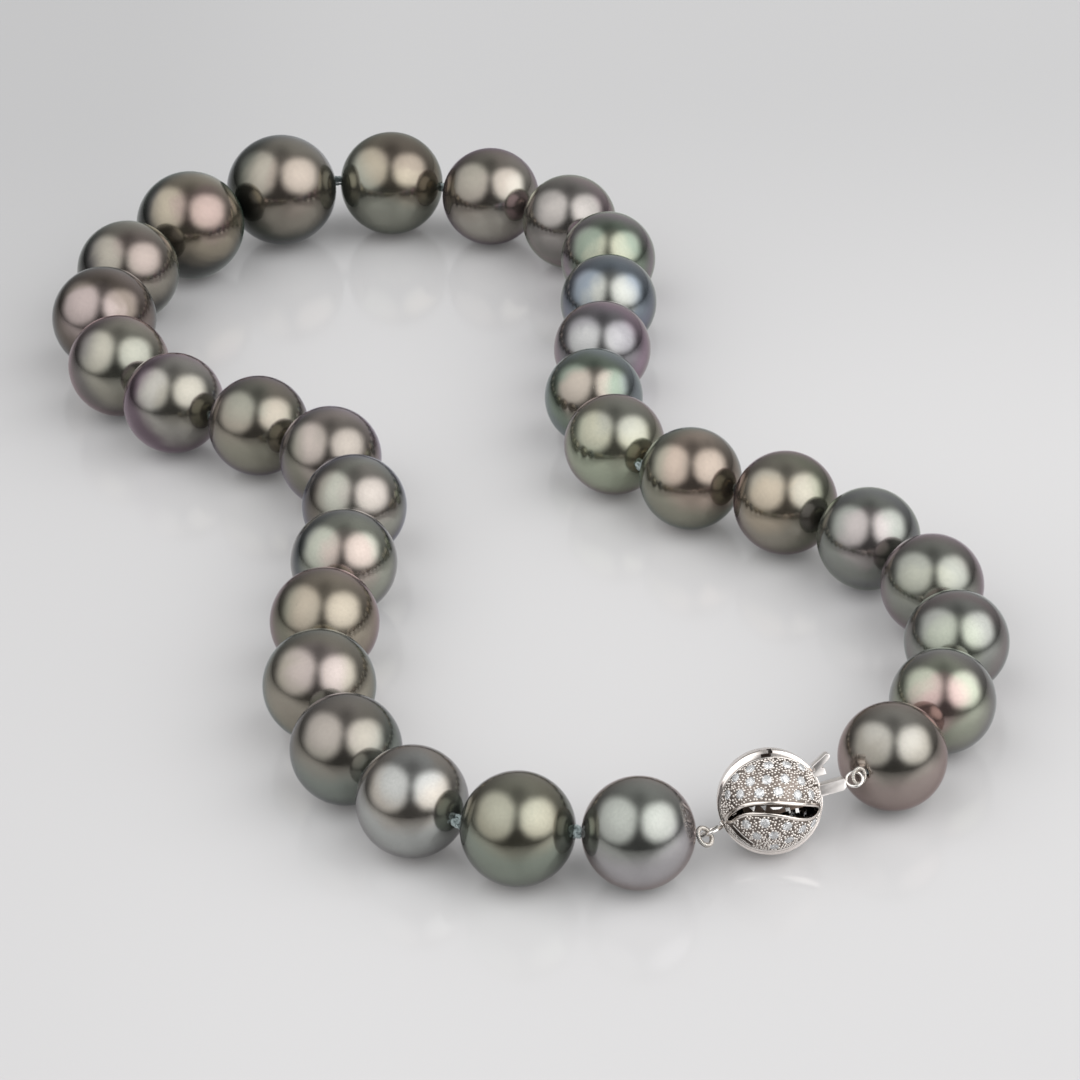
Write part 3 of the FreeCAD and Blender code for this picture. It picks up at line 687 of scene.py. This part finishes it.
OPENING = [
    (-4.81, -0.34), (-4.658, -0.145), (-4.4, 0.08), (-4.184, 0.236),
    (-3.91, 0.38), (-3.504, 0.561), (-3.04, 0.71), (-2.568, 0.761),
    (-2.08, 0.75), (-1.619, 0.696), (-1.09, 0.59), (-0.343, 0.417),
    (0.42, 0.21), (1.003, 0.001), (1.54, -0.22), (2.107, -0.452),
    (2.68, -0.7), (3.299, -0.987), (3.85, -1.26), (4.216, -1.461),
    (4.45, -1.62), (4.558, -1.737), (4.56, -1.85), (4.476, -2.014),
    (4.32, -2.17), (4.105, -2.272), (3.85, -2.33), (3.6, -2.347),
    (3.29, -2.3), (2.849, -2.161), (2.34, -1.95), (1.794, -1.658),
    (1.23, -1.34), (0.684, -1.049), (0.14, -0.78), (-0.408, -0.549),
    (-0.95, -0.35), (-1.486, -0.177), (-1.99, -0.04), (-2.409, 0.059),
    (-2.82, 0.1), (-3.316, 0.056), (-3.79, -0.05), (-4.158, -0.238),
    (-4.45, -0.4), (-4.697, -0.418),
]
SLOT_XZ = np.array(OPENING, float)

METAL = white_gold("white_gold_polished")
METAL_BELT = white_gold("white_gold_belt", base=(0.83, 0.775, 0.735), rough=(0.10, 0.22), scratch=0.4)
# painted shade: a dark copy of the white gold for the domes, so the gaps between the grains read dark
METAL_PAVE_SHADE = white_gold("white_gold_pave_shade", base=(0.20, 0.17, 0.15), rough=(0.30, 0.50), scratch=0.5, dark=0.35)
METAL_GRAIN = white_gold("white_gold_grain", base=(0.74, 0.695, 0.655), rough=(0.08, 0.18), scratch=0.3, dark=0.05)
# painted shade: a dark brown copy of the white gold for the guide box inside the ball
METAL_INSIDE_SHADE = white_gold("white_gold_inside_shade", base=(0.25, 0.19, 0.155), rough=(0.30, 0.5), scratch=0.5, dark=0.3)
METAL_LEVER = white_gold("white_gold_lever", base=(0.84, 0.80, 0.77), rough=(0.27, 0.37), scratch=0.2)
COIL = white_gold("coiled_wire", base=(0.70, 0.66, 0.61), rough=(0.14, 0.26), scratch=0.4)
METAL_LIP = white_gold("white_gold_lip", base=(0.77, 0.715, 0.665), rough=(0.10, 0.20), scratch=0.3)
DIAMOND = diamond("diamond")

nodes = frame["nodes"]


def give(name, mat, smooth=None):
    me = nodes[name].data
    me.materials.clear()
    me.materials.append(mat)


def brilliant(at, up, dia, spin):
    """A round brilliant: table, star, kite and girdle facets, and its pavilion."""
    r = dia / 2
    up = unit(up)
    s = unit(np.cross(up, [0.3, 0.2, 0.93]))
    o = np.cross(up, s)
    zt, zg, zb, zc = 0.14 * dia, 0.02, -0.02, -0.42 * dia
    rt = 0.56 * r
    c8 = math.cos(math.pi / 8)
    V = []

    def put(rad, ang, z):
        V.append((rad * math.cos(ang), rad * math.sin(ang), z))
        return len(V) - 1

    T, S, G, H, GB, HB, L = [], [], [], [], [], [], []
    sr = 0.80 * r
    sz = zt + (sr * c8 - rt) / (r - rt) * (zg - zt)
    lr = 0.24 * r
    lz = zc + (lr * c8) / r * (zb - zc)
    for k in range(8):
        a = spin + k * math.pi / 4
        T.append(put(rt, a, zt))
        S.append(put(sr, a + math.pi / 8, sz))
        G.append(put(r, a, zg))
        H.append(put(r, a + math.pi / 8, zg))
        GB.append(put(r, a, zb))
        HB.append(put(r, a + math.pi / 8, zb))
        L.append(put(lr, a + math.pi / 8, lz))
    C = put(0, 0, zc)
    F = [tuple(T)]
    for k in range(8):
        n, p = (k + 1) % 8, (k - 1) % 8
        F.append((T[k], S[k], T[n]))
        F.append((T[k], S[p], G[k], S[k]))
        F.append((S[k], G[k], H[k]))
        F.append((S[k], H[k], G[n]))
        F.append((G[k], GB[k], HB[k], H[k]))
        F.append((H[k], HB[k], GB[n], G[n]))
        F.append((L[k], HB[k], GB[k]))
        F.append((L[k], GB[n], HB[k]))
        F.append((C, L[k], GB[k], L[p]))
    V = np.array(V)
    W = at + V[:, :1] * s + V[:, 1:2] * o + V[:, 2:3] * up
    return W, F


def on_dome(x, z, side, rad=GIRDLE):
    y = math.sqrt(max(0.0, rad * rad - x * x - z * z))
    return np.array([x, -y if side == "front" else y, z])


def stones(name, cad, table, side):
    parts = []
    for x, z, dia in table:
        p = on_dome(x, z, side)
        parts.append(brilliant(p, p, dia, rnd.uniform(0, math.pi / 4)))
    v, f = joined(parts)
    o = piece(name, clasp_all(v), f, DIAMOND, "clasp_ball", smooth=False)
    # outward normals
    bm = bmesh.new()
    bm.from_mesh(o.data)
    bmesh.ops.recalc_face_normals(bm, faces=bm.faces)
    bm.to_mesh(o.data)
    bm.free()
    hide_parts(cad)
    return o


stones("brilliants_upper", "stones_front_upper", UPPER, "front")
stones("brilliants_lower", "stones_front_lower", LOWER, "front")
stones("brilliants_back", "stones_back", BACK, "back")


def segment_distance(P, loop):
    """Shortest distance from each point to a closed outline, and whether it is inside."""
    A = loop
    B = np.roll(loop, -1, 0)
    E = B - A
    W = P[:, None, :] - A[None]
    t = np.clip((W * E).sum(2) / (E * E).sum(1), 0, 1)
    D = np.linalg.norm(W - t[..., None] * E, axis=2).min(1)
    inside = np.zeros(len(P), bool)
    for (x1, z1), (x2, z2) in zip(A, B):
        cond = ((z1 > P[:, 1]) != (z2 > P[:, 1]))
        xc = (x2 - x1) * (P[:, 1] - z1) / (z2 - z1 + 1e-12) + x1
        inside ^= cond & (P[:, 0] < xc)
    return D, inside


def grain_mesh(at, up, rad, tall):
    """One raised grain of metal: a small worked bead."""
    up = unit(up)
    s = unit(np.cross(up, [0.3, 0.2, 0.93]))
    o = np.cross(up, s)
    V, F = [], []
    seg = 8
    rows = [(1.06, -0.25), (0.98, 0.18), (0.80, 0.62), (0.45, 0.92)]
    ph = rnd.uniform(0, 1)
    for rr, hh in rows:
        for k in range(seg):
            a = 2 * math.pi * (k + ph) / seg
            V.append(at + rad * rr * (math.cos(a) * s + math.sin(a) * o) + up * tall * hh)
    V.append(at + up * tall)
    for j in range(len(rows) - 1):
        for k in range(seg):
            k2 = (k + 1) % seg
            F.append((j * seg + k, j * seg + k2, (j + 1) * seg + k2, (j + 1) * seg + k))
    for k in range(seg):
        F.append(((len(rows) - 1) * seg + k, (len(rows) - 1) * seg + (k + 1) % seg, len(rows) * seg))
    return np.array(V), F


def grains(name, table, side, with_slot):
    """The worked beads of metal round and between the stones."""
    centres = np.array([on_dome(x, z, side, DOME) for x, z, _ in table])
    pts = []
    # four holding grains to each stone
    for x, z, dia in table:
        p = on_dome(x, z, side, DOME)
        up = unit(p)
        s = unit(np.cross(up, [0.3, 0.2, 0.93]))
        o = np.cross(up, s)
        ph = rnd.uniform(0, math.pi / 2)
        for k in range(5):
            a = ph + k * 2 * math.pi / 5
            q = p + (dia / 2 + 0.05) * (math.cos(a) * s + math.sin(a) * o)
            pts.append((unit(q) * DOME, rnd.uniform(0.13, 0.18)))
    # and rows of small ones between them
    step = 0.36
    n = int(12 / step)
    for a in range(-n, n + 1):
        for b in range(-n, n + 1):
            x = (a + 0.5 * (b % 2)) * step + rnd.uniform(-0.08, 0.08)
            z = b * step * 0.866 + rnd.uniform(-0.08, 0.08)
            # rows follow the dome: from angle to place
            rr = math.hypot(x, z)
            if rr > 7.4 or rr < 1e-6:
                continue
            ang = rr / DOME
            if ang > 1.35:
                continue
            px, pz = math.sin(ang) * DOME * x / rr, math.sin(ang) * DOME * z / rr
            p = np.array([px, (-1 if side == "front" else 1) * math.cos(ang) * DOME, pz])
            pts.append((p, rnd.uniform(0.11, 0.165)))
    P = np.array([p for p, _ in pts])
    R = np.array([r for _, r in pts])
    ok = (P[:, 0] / (LONG - 0.10)) ** 2 + (P[:, 2] / (HIGH - 0.10)) ** 2 < 1
    d = np.linalg.norm(P[:, None] - centres[None], axis=2).min(1)
    ok &= d > STONE_D / 2 + 0.01
    if with_slot:
        D, inside = segment_distance(P[:, [0, 2]], SLOT_XZ)
        ok &= (~inside) & (D > 0.40)
        G = np.array([[-4.55, -1.2], [-4.35, -1.55], [-3.9, -2.35], [-3.4, -3.05], [-3.15, -3.3]])
        Dg, _ = segment_distance(P[:, [0, 2]], np.concatenate([G, G[::-1] + [0.03, 0.02]]))
        ok &= Dg > 0.34
        # the tongue's way through the wall
        ok &= ~((P[:, 0] > 3.5) & (np.abs(P[:, 1]) < 1.7) & (P[:, 2] > -1.25) & (P[:, 2] < 2.2))
    kept = []
    for k in np.nonzero(ok)[0]:
        if all(np.linalg.norm(P[k] - P[j]) > (R[k] + R[j]) * 0.80 for j in kept):
            kept.append(k)
    parts = [grain_mesh(P[k] - unit(P[k]) * 0.02, P[k], R[k], R[k] * 0.85) for k in kept]
    v, f = joined(parts)
    return piece(name, clasp_all(v), f, METAL_GRAIN, "clasp_ball", sharp=70)


grains("grains_front", UPPER + LOWER, "front", True)
grains("grains_back", BACK, "back", False)


def lip(name, outline, offset, width, tall, deep, side="front", mat=None, closed=True):
    """A polished edge that follows an outline on the dome."""
    Q = np.asarray(outline, float)
    # fine points by a closed spline
    n0 = len(Q)
    fine = []
    for k in range(n0):
        p0, p1, p2, p3 = Q[(k - 1) % n0], Q[k], Q[(k + 1) % n0], Q[(k + 2) % n0]
        for t in (0, 0.25, 0.5, 0.75):
            fine.append(0.5 * ((2 * p1) + (-p0 + p2) * t + (2 * p0 - 5 * p1 + 4 * p2 - p3) * t * t + (-p0 + 3 * p1 - 3 * p2 + p3) * t ** 3))
    Q = np.array(fine)
    T = np.roll(Q, -1, 0) - np.roll(Q, 1, 0)
    T /= np.linalg.norm(T, axis=1)[:, None] + 1e-12
    N = np.c_[T[:, 1], -T[:, 0]]
    area = 0.5 * np.sum(Q[:, 0] * np.roll(Q[:, 1], -1) - np.roll(Q[:, 0], -1) * Q[:, 1])
    if area < 0:
        N = -N
    # N points out of the opening
    prof = [(offset, -deep), (offset - 0.01, tall * 0.35), (offset + 0.03, tall * 0.85), (offset + width * 0.3, tall),
            (offset + width * 0.75, tall * 0.92), (offset + width * 0.97, tall * 0.45), (offset + width, -0.08)]
    V = []
    m = len(prof)
    for q, nn in zip(Q, N):
        for out, h in prof:
            xz = q + nn * out
            rr = DOME + h
            if xz @ xz > (rr - 0.05) ** 2:
                xz = xz * ((rr - 0.05) / math.sqrt(xz @ xz))
            V.append(on_dome(xz[0], xz[1], side, rr))
    F = []
    k = len(Q)
    for a in range(k):
        b = (a + 1) % k
        for j in range(m - 1):
            F.append((a * m + j, b * m + j, b * m + j + 1, a * m + j + 1))
    return piece(name, clasp_all(V), F, mat or METAL, "clasp_ball", sharp=55)


lip("opening_lip", OPENING, 0.0, 0.34, 0.095, 0.60, mat=METAL_LIP)


def field_edge(name, side, shrink, rad, wire, beaded=False):
    """A fine line worked along the edge of a dome's stone field."""
    n = 240
    pts = []
    for k in range(n):
        a = 2 * math.pi * k / n
        x, z = (LONG - shrink) * math.cos(a), (HIGH - shrink) * math.sin(a)
        if math.hypot(x, z) > rad - 0.01:
            s = (rad - 0.01) / math.hypot(x, z)
            x, z = x * s, z * s
        pts.append(on_dome(x, z, side, rad))
    v, f = tube(clasp_all(pts), wire * MM, 8, closed=True)
    return piece(name, v, f, METAL, "clasp_ball", sharp=60)


field_edge("field_line_front", "front", 0.06, DOME + 0.0, 0.06)
field_edge("field_line_back", "back", 0.06, DOME + 0.0, 0.06)

# domes keep their CAD shape; their dark metal is painted shade in the gaps between the grains
give("clasp_front_dome", METAL_PAVE_SHADE)
give("clasp_back_dome", METAL_PAVE_SHADE)


def bevelled(name, cad, mat, width, body, angle=32, segments=3):
    """The CAD part with its edges broken, as a polished part has them."""
    src = nodes[cad].data
    bm = bmesh.new()
    bm.from_mesh(src)
    bmesh.ops.remove_doubles(bm, verts=bm.verts, dist=2e-7)
    bmesh.ops.dissolve_limit(bm, angle_limit=math.radians(1.0), verts=bm.verts, edges=bm.edges)
    me = bpy.data.meshes.new(name)
    for f in bm.faces:
        f.smooth = True
    bm.to_mesh(me)
    bm.free()
    tmp = bpy.data.objects.new(name + "_blank", me)
    scene_root.objects.link(tmp)
    mod = tmp.modifiers.new("edge", "BEVEL")
    mod.limit_method = "ANGLE"
    mod.angle_limit = math.radians(angle)
    mod.width = width * MM
    mod.segments = segments
    mod.use_clamp_overlap = True
    mod.harden_normals = True
    dg = bpy.context.evaluated_depsgraph_get()
    out = bpy.data.meshes.new_from_object(tmp.evaluated_get(dg))
    bpy.data.objects.remove(tmp)
    out.name = name
    out.materials.clear()
    out.materials.append(mat)
    o = bpy.data.objects.new(name, out)
    scene_root.objects.link(o)
    bpy.context.view_layer.update()
    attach(o, body)
    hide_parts(cad)
    return o


bevelled("tongue_bar", "clasp_tongue", METAL_LEVER, 0.09, "tongue")
bevelled("thumb_leaf", "clasp_spring", METAL_LEVER, 0.08, "spring")
# the guide box inside the ball takes the painted-shade metal
bevelled("guide_box", "clasp_guide_box", METAL_INSIDE_SHADE, 0.04, "clasp_ball")
bevelled("ring_post_body", "ring_post", METAL, 0.05, "clasp_ball")


def belt():
    """The polished belt: a shoulder round each dome, sloping outwards, and the wall between them.
    A stepped notch crosses the front shoulder at the top."""
    n = 360
    prof_n = 0
    V = []
    info = []
    for k in range(n):
        a = 2 * math.pi * k / n
        c, s = math.cos(a), math.sin(a)
        re = 1.0 / math.sqrt((c / LONG) ** 2 + (s / HIGH) ** 2)
        yd = math.sqrt(DOME ** 2 - re ** 2)
        yi = yd * 0.74
        ri = re - 0.02
        ro = 5.42 + 0.04 * c * c
        yo = yi - (ro - ri) * 0.62
        m = ri + (ro - ri) * 0.5
        ym = yi - (ro - ri) * 0.31
        front = [(re - 0.05, yd - 0.02), (ri, yi + 0.04), (ri + 0.02, yi), (m - 0.02, ym + 0.006), (m, ym - 0.012), (m + 0.02, ym - 0.006),
                 (ro - 0.015, yo + 0.006), (ro + 0.02, yo - 0.012), (min(5.49, ro + 0.045), yo - 0.05)]
        back = [(r_, -y_) for r_, y_ in front[::-1]]
        mid = [(5.495, 0.35 * yo), (5.46, 0.10), (5.46, -0.10), (5.495, -0.35 * yo)]
        prof = front + mid + back
        prof_n = len(prof)
        for r_, y_ in prof:
            V.append((r_ * c, -y_, r_ * s))
        info.append(a)
    F, idx = [], []
    for k in range(n):
        k2 = (k + 1) % n
        for j in range(prof_n - 1):
            x = 0.25 * (V[k * prof_n + j][0] + V[k2 * prof_n + j][0] + V[k * prof_n + j + 1][0] + V[k2 * prof_n + j + 1][0])
            z = 0.25 * (V[k * prof_n + j][2] + V[k2 * prof_n + j][2] + V[k * prof_n + j + 1][2] + V[k2 * prof_n + j + 1][2])
            # faces of the notch take the near-black recess metal: painted shade in the notch
            dark = False
            if z > 0 and j <= 8:
                if 1.18 < x < 1.60 and j >= 4:
                    dark = True
                if 0.35 < x < 1.42 and 1 <= j <= 4:
                    dark = True
            F.append((k * prof_n + j, k * prof_n + j + 1, k2 * prof_n + j + 1, k2 * prof_n + j))
            idx.append(1 if dark else 0)
    V = np.array(V)
    # the notch is sunk
    sunk = set()
    for f, d in zip(F, idx):
        if d:
            sunk.update(f)
    keep = set()
    for f, d in zip(F, idx):
        if not d:
            keep.update(f)
    for q in sunk - keep:
        V[q] = V[q] * 0.955
    o = piece("belt_ring", clasp_all(V), F, [METAL_BELT, METAL_RECESS_SHADE], "clasp_ball", sharp=32, index=idx)
    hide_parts("clasp_belt")
    return o


# painted shade: a near-black copy of the white gold for the notch in the belt and the floor of the slit
METAL_RECESS_SHADE = white_gold("white_gold_recess_shade", base=(0.05, 0.04, 0.035), rough=(0.40, 0.6), scratch=0.5, dark=0.3)
belt()


def groove():
    """The narrow slit low on the left of the front dome, between two polished ridges."""
    G = np.array([[-4.62, -1.02], [-4.35, -1.55], [-3.92, -2.35], [-3.42, -3.05], [-3.0, -3.55]])
    t = np.linspace(0, 1, 40)
    base = np.linspace(0, 1, len(G))
    x, z = np.interp(t, base, G[:, 0]), np.interp(t, base, G[:, 1])
    n = np.array([-0.86, -0.51])
    out = []
    # the slit's floor is a near-black tube: painted shade in the slit
    for off, rad, mat, name, lift in ((0.0, 0.13, METAL_RECESS_SHADE, "slit_floor_shade", 0.0), (0.22, 0.06, METAL, "slit_ridge_outer", 0.02),
                                      (-0.21, 0.06, METAL, "slit_ridge_inner", 0.02), (0.38, 0.055, METAL, "slit_edge", 0.01)):
        P = []
        for a, b in zip(x, z):
            q = np.array([a, b]) + n * off
            r0 = DOME + lift
            if q @ q > (r0 - 0.02) ** 2:
                q = q * (r0 - 0.02) / math.sqrt(q @ q)
            P.append(on_dome(q[0], q[1], "front", r0))
        if name == "slit_floor_shade":
            rad = rad * (0.45 + np.exp(-((np.linspace(0, 1, len(P)) - 0.38) / 0.20) ** 2) * 0.75)
        taper = rad * np.clip(np.sin(np.pi * np.linspace(0.03, 0.97, len(P))) * 3, 0.25, 1.0)
        v, f = tube(clasp_all(P), taper * MM, 8)
        out.append(piece(name, v, f, mat, "clasp_ball", sharp=50))
    return out


groove()


def gallery():
    """Cut edges of the pierced gallery just inside the opening."""
    parts = []

    def bit(poly, depth, thick=0.22):
        A, B = [], []
        for x, z in poly:
            y = -math.sqrt(depth * depth - x * x - z * z)
            A.append((x, y, z))
            B.append((x * 0.98, y + thick, z * 0.98))
        m = len(poly)
        F = [tuple(range(m)), tuple(range(2 * m - 1, m - 1, -1))]
        for k in range(m):
            F.append((k, k + m, (k + 1) % m + m, (k + 1) % m))
        parts.append((np.array(A + B), F))

    bit([(-2.38, 0.52), (-2.05, 0.44), (-1.72, 0.50), (-1.98, 0.02), (-2.05, 0.02)], 4.62)
    bit([(-1.22, 0.36), (-0.62, 0.30), (-0.85, -0.18), (-0.94, -0.18)], 4.60)
    bit([(-0.30, -0.02), (0.95, -0.36), (1.10, -0.52), (0.55, -0.46), (-0.10, -0.32)], 4.55)
    bit([(1.18, -0.52), (1.62, -0.62), (1.66, -1.18), (1.42, -1.22), (1.46, -0.92), (1.14, -0.92)], 4.60)
    bit([(2.18, -0.92), (2.52, -1.02), (2.50, -1.50), (2.12, -1.42)], 4.62)
    bit([(-4.42, -0.10), (-4.10, 0.10), (-3.78, 0.24), (-3.80, 0.14), (-4.12, -0.02), (-4.40, -0.20)], 5.05)
    v, f = joined(parts)
    return piece("gallery_bits", clasp_all(v), f, METAL_GALLERY, "clasp_ball", smooth=False)


METAL_GALLERY = white_gold("white_gold_gallery", base=(0.86, 0.85, 0.84), rough=(0.10, 0.2), scratch=0.3)
gallery()


# ---------------------------------------------------------------------------
# Rings and gimp
# ---------------------------------------------------------------------------


def ring_fit(name):
    """Centre, normal, radius and wire radius of a CAD ring."""
    P = np.unique(np.round(node_points(name), 8), axis=0)
    c = P.mean(0)
    for _ in range(30):
        w, v = np.linalg.eigh(np.cov((P - c).T))
        n = v[:, 0]
        q = P - c
        h = q @ n
        rad = np.linalg.norm(q - np.outer(h, n), axis=1)
        a, b = rad.max(), rad.min()
        c = c + n * (h.max() + h.min()) / 2
        # centre the ring in its own plane
        s = unit(np.cross(n, [0.3, 0.5, 0.8]))
        o = np.cross(n, s)
        c = c + s * ((q @ s).max() + (q @ s).min()) / 2 + o * ((q @ o).max() + (q @ o).min()) / 2
    q = P - c
    h = q @ n
    rad = np.linalg.norm(q - np.outer(h, n), axis=1)
    return c, n, (rad.max() + rad.min()) / 2, (rad.max() - rad.min()) / 2


def wire_ring(name, cad, body, mat):
    """A jump ring: drawn wire, a little uneven, with its soldered joint."""
    c, n, R, w = ring_fit(cad)
    s = unit(np.cross(n, [0.3, 0.5, 0.8]))
    o = np.cross(n, s)
    k = 96
    a = 2 * math.pi * np.arange(k) / k
    C = c + R * (np.outer(np.cos(a), s) + np.outer(np.sin(a), o))
    seam = np.exp(-((np.minimum(a, 2 * math.pi - a)) / 0.10) ** 2)
    rad = w * (0.975 + 0.008 * np.sin(3 * a + 1.0) + 0.012 * np.sin(7 * a) * 0.4 + 0.02 * seam)
    v, f = tube(C, rad, 16, closed=True)
    p = piece(name, v, f, mat, body, sharp=60)
    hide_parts(cad)
    return p


def gimp_loop(name, cad, body):
    """Gimp: a fine coil of wire over a bent silk core."""
    c, n, R, w = ring_fit(cad)
    s = unit(np.cross(n, [0.3, 0.5, 0.8]))
    o = np.cross(n, s)
    wire = 0.000074
    coil = w - wire * 1.02
    turns = int(2 * math.pi * R / 0.000165)
    per = 14
    k = turns * per
    a = 2 * math.pi * np.arange(k) / k
    b = 2 * math.pi * np.arange(k) / per
    radial = np.outer(np.cos(a), s) + np.outer(np.sin(a), o)
    wob = 1 + 0.02 * np.sin(a * 5 + 0.7) + 0.015 * np.sin(a * 9)
    C = c + radial * (R + coil * np.cos(b) * wob)[:, None] + np.outer(coil * np.sin(b) * wob, n)
    v1, f1 = tube(C, wire, 6, closed=True)
    kk = 64
    a = 2 * math.pi * np.arange(kk) / kk
    C = c + R * (np.outer(np.cos(a), s) + np.outer(np.sin(a), o))
    v2, f2 = tube(C, coil * 0.93, 10, closed=True)
    p = piece(name, v1, f1, COIL, body, sharp=70)
    piece(name + "_core", v2, f2, SILK, body, sharp=60)
    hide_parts(cad)
    return p


wire_ring("eye_ring", "eye_ring_right", "tongue", METAL)
wire_ring("solder_ring", "ring_left", "left_ring", METAL)
gimp_loop("gimp_coil_right", "gimp_right", "bead_01")
gimp_loop("gimp_coil_left", "gimp_left", "bead_31")

# ---------------------------------------------------------------------------
# Floor, light and camera
# ---------------------------------------------------------------------------


def floor():
    m, t, b = material("floor")
    tc = t.new("ShaderNodeTexCoord")
    sep = t.new("ShaderNodeSeparateXYZ")
    t.put(sep.inputs[0], tc.outputs["Object"])
    # painted light falloff: the floor is painted darker away from the camera and darker still towards the left
    far_painted_shade = t.step(sep.outputs[1], -0.01, 0.135)
    side = t.mad(t.step(sep.outputs[1], -0.10, 0.14), 0.55, 0.35)
    side = t.mul(side, t.step(sep.outputs[0], -0.010, -0.062))
    p = t.vmath("SCALE", tc.outputs["Object"], scale=1000.0)
    cloud = t.noise(p, 0.004, 2.0)
    colour = t.mix(far_painted_shade, (0.525, 0.520, 0.523), (0.415, 0.414, 0.418))
    colour = t.mix(t.mul(side, 0.24), colour, (0.22, 0.22, 0.225))
    colour = t.mix(t.remap(cloud, 0.3, 0.7, 0.0, 0.05), colour, (0.36, 0.36, 0.365))
    t.put(b.inputs["Base Color"], colour)
    t.put(b.inputs["Roughness"], t.remap(t.noise(p, 0.02, 2.0), 0.3, 0.7, 0.09, 0.13))
    b.inputs["IOR"].default_value = 1.45
    b.inputs["Specular IOR Level"].default_value = 0.50
    # painted light: the floor glows faintly, which lifts its shadows
    b.inputs["Emission Color"].default_value = (1.0, 0.99, 0.995, 1)
    b.inputs["Emission Strength"].default_value = 0.07
    n = 24
    w, y0, y1 = 1.6, -1.2, 2.0
    V, F = [], []
    for j in range(n + 1):
        for k in range(n + 1):
            x = -w + 2 * w * k / n
            y = y0 + (y1 - y0) * j / n
            V.append((x, y, -0.00002))
    for j in range(n):
        for k in range(n):
            F.append((j * (n + 1) + k, j * (n + 1) + k + 1, (j + 1) * (n + 1) + k + 1, (j + 1) * (n + 1) + k))
    me = bpy.data.meshes.new("table_top")
    me.from_pydata(V, [], F)
    me.materials.append(m)
    o = bpy.data.objects.new("table_top", me)
    scene_root.objects.link(o)
    return o


floor()


def studio():
    """Two broad soft panels, left and right of the stand, and a dimmer room beyond."""
    w = bpy.data.worlds.new("studio")
    w.use_nodes = True
    bpy.context.scene.world = w
    t = Tree(w.node_tree)
    bg = w.node_tree.nodes["Background"]
    tc = t.new("ShaderNodeTexCoord")
    d = t.vmath("NORMALIZE", tc.outputs["Generated"])
    # the panels face a point in front of and above the object
    lean = (0.0, -math.cos(math.radians(30)), math.sin(math.radians(30)))
    h = t.vmath("NORMALIZE", t.vmath("ADD", d, lean))
    u = t.dot(h, (1, 0, 0))
    v = t.dot(h, (0, math.sin(math.radians(30)), math.cos(math.radians(30))))
    sep = t.new("ShaderNodeSeparateXYZ")
    t.put(sep.inputs[0], d)
    z = sep.outputs[2]

    def panel(cu, cv, hu, hv, corner, soft, tilt=0.0):
        """1 inside a rounded panel, falling softly to 0."""
        du, dv = t.sub(u, cu), t.sub(v, cv)
        if tilt:
            ca, sa = math.cos(tilt), math.sin(tilt)
            du, dv = t.add(t.mul(du, ca), t.mul(dv, sa)), t.sub(t.mul(dv, ca), t.mul(du, sa))
        x = t.most(t.sub(t.absv(du), hu - corner), 0.0)
        y = t.most(t.sub(t.absv(dv), hv - corner), 0.0)
        q = t.math("SQRT", t.add(t.mul(x, x), t.mul(y, y)))
        edge = t.sub(q, corner)
        return t.step(edge, -soft, soft, 1.0, 0.0), du, dv

    def glow(du, dv, cu, cv, size, low):
        """A panel's brightness, strongest before its lamp."""
        a, b = t.sub(du, cu), t.sub(dv, cv)
        q = t.add(t.mul(a, a), t.mul(b, b))
        return t.mad(t.math("EXPONENT", t.mul(q, -1.0 / (size * size))), 1.0 - low, low)

    right_mask, ru, rv = panel(0.356, 0.198, 0.300, 0.325, 0.272, 0.09, 0.05)
    left_mask, lu, lv = panel(-0.375, 0.262, 0.325, 0.40, 0.322, 0.09, -0.24)
    right_light = t.mul(t.mul(right_mask, glow(ru, rv, 0.015, -0.01, 0.40, 0.30)), 3.10)
    left_light = t.mul(t.mul(left_mask, glow(lu, lv, 0.08, 0.04, 0.46, 0.32)), 1.86)
    # the dim room: dark behind the stand's front, paler beyond it
    room = t.mul(t.step(v, -0.12, 0.95, 0.05, 0.60), t.step(u, -0.75, 0.35, 0.34, 1.12))
    # darker just over the gap between the panels
    gu, gv = t.sub(u, 0.04), t.sub(v, 0.62)
    gap = t.math("EXPONENT", t.mul(t.add(t.mul(gu, gu), t.mul(gv, gv)), -1.0 / (0.15 * 0.15)))
    room = t.mul(room, t.mad(gap, -0.5, 1.0))
    low = t.step(z, 0.0, 0.05, 0.45, 1.0)
    under = t.step(z, -0.02, 0.0)
    total = t.mul(t.add(room, t.add(right_light, left_light)), low)
    total = t.mad(t.sub(1.0, under), t.sub(0.30, total), total)
    colour = t.new("ShaderNodeCombineColor")
    for k in range(3):
        t.put(colour.inputs[k], total)
    colour = colour.outputs[0]
    t.put(bg.inputs["Color"], colour)
    bg.inputs["Strength"].default_value = 1.0


studio()

cam_data = bpy.data.cameras.new("camera")
cam = bpy.data.objects.new("camera", cam_data)
scene_root.objects.link(cam)
tilt = math.radians(30.0)
roll = -0.05118
right = np.array([1.0, 0.0, 0.0])
up = np.array([0.0, math.sin(tilt), math.cos(tilt)])
back = np.array([0.0, -math.cos(tilt), math.sin(tilt)])
r2 = math.cos(roll) * right + math.sin(roll) * up
u2 = -math.sin(roll) * right + math.cos(roll) * up
M = Matrix.Identity(4)
for k in range(3):
    M[k][0], M[k][1], M[k][2] = r2[k], u2[k], back[k]
M[0][3], M[1][3], M[2][3] = 0.0063786, -0.3599652, 0.20103
cam.matrix_world = M
cam_data.sensor_width = 36.0
cam_data.lens = 36.0 * 3279.35 / 1080
cam_data.clip_start = 0.01
cam_data.clip_end = 20.0
bpy.context.scene.camera = cam
bpy.context.scene.view_settings.view_transform = "Standard"
bpy.context.scene.view_settings.look = "None"
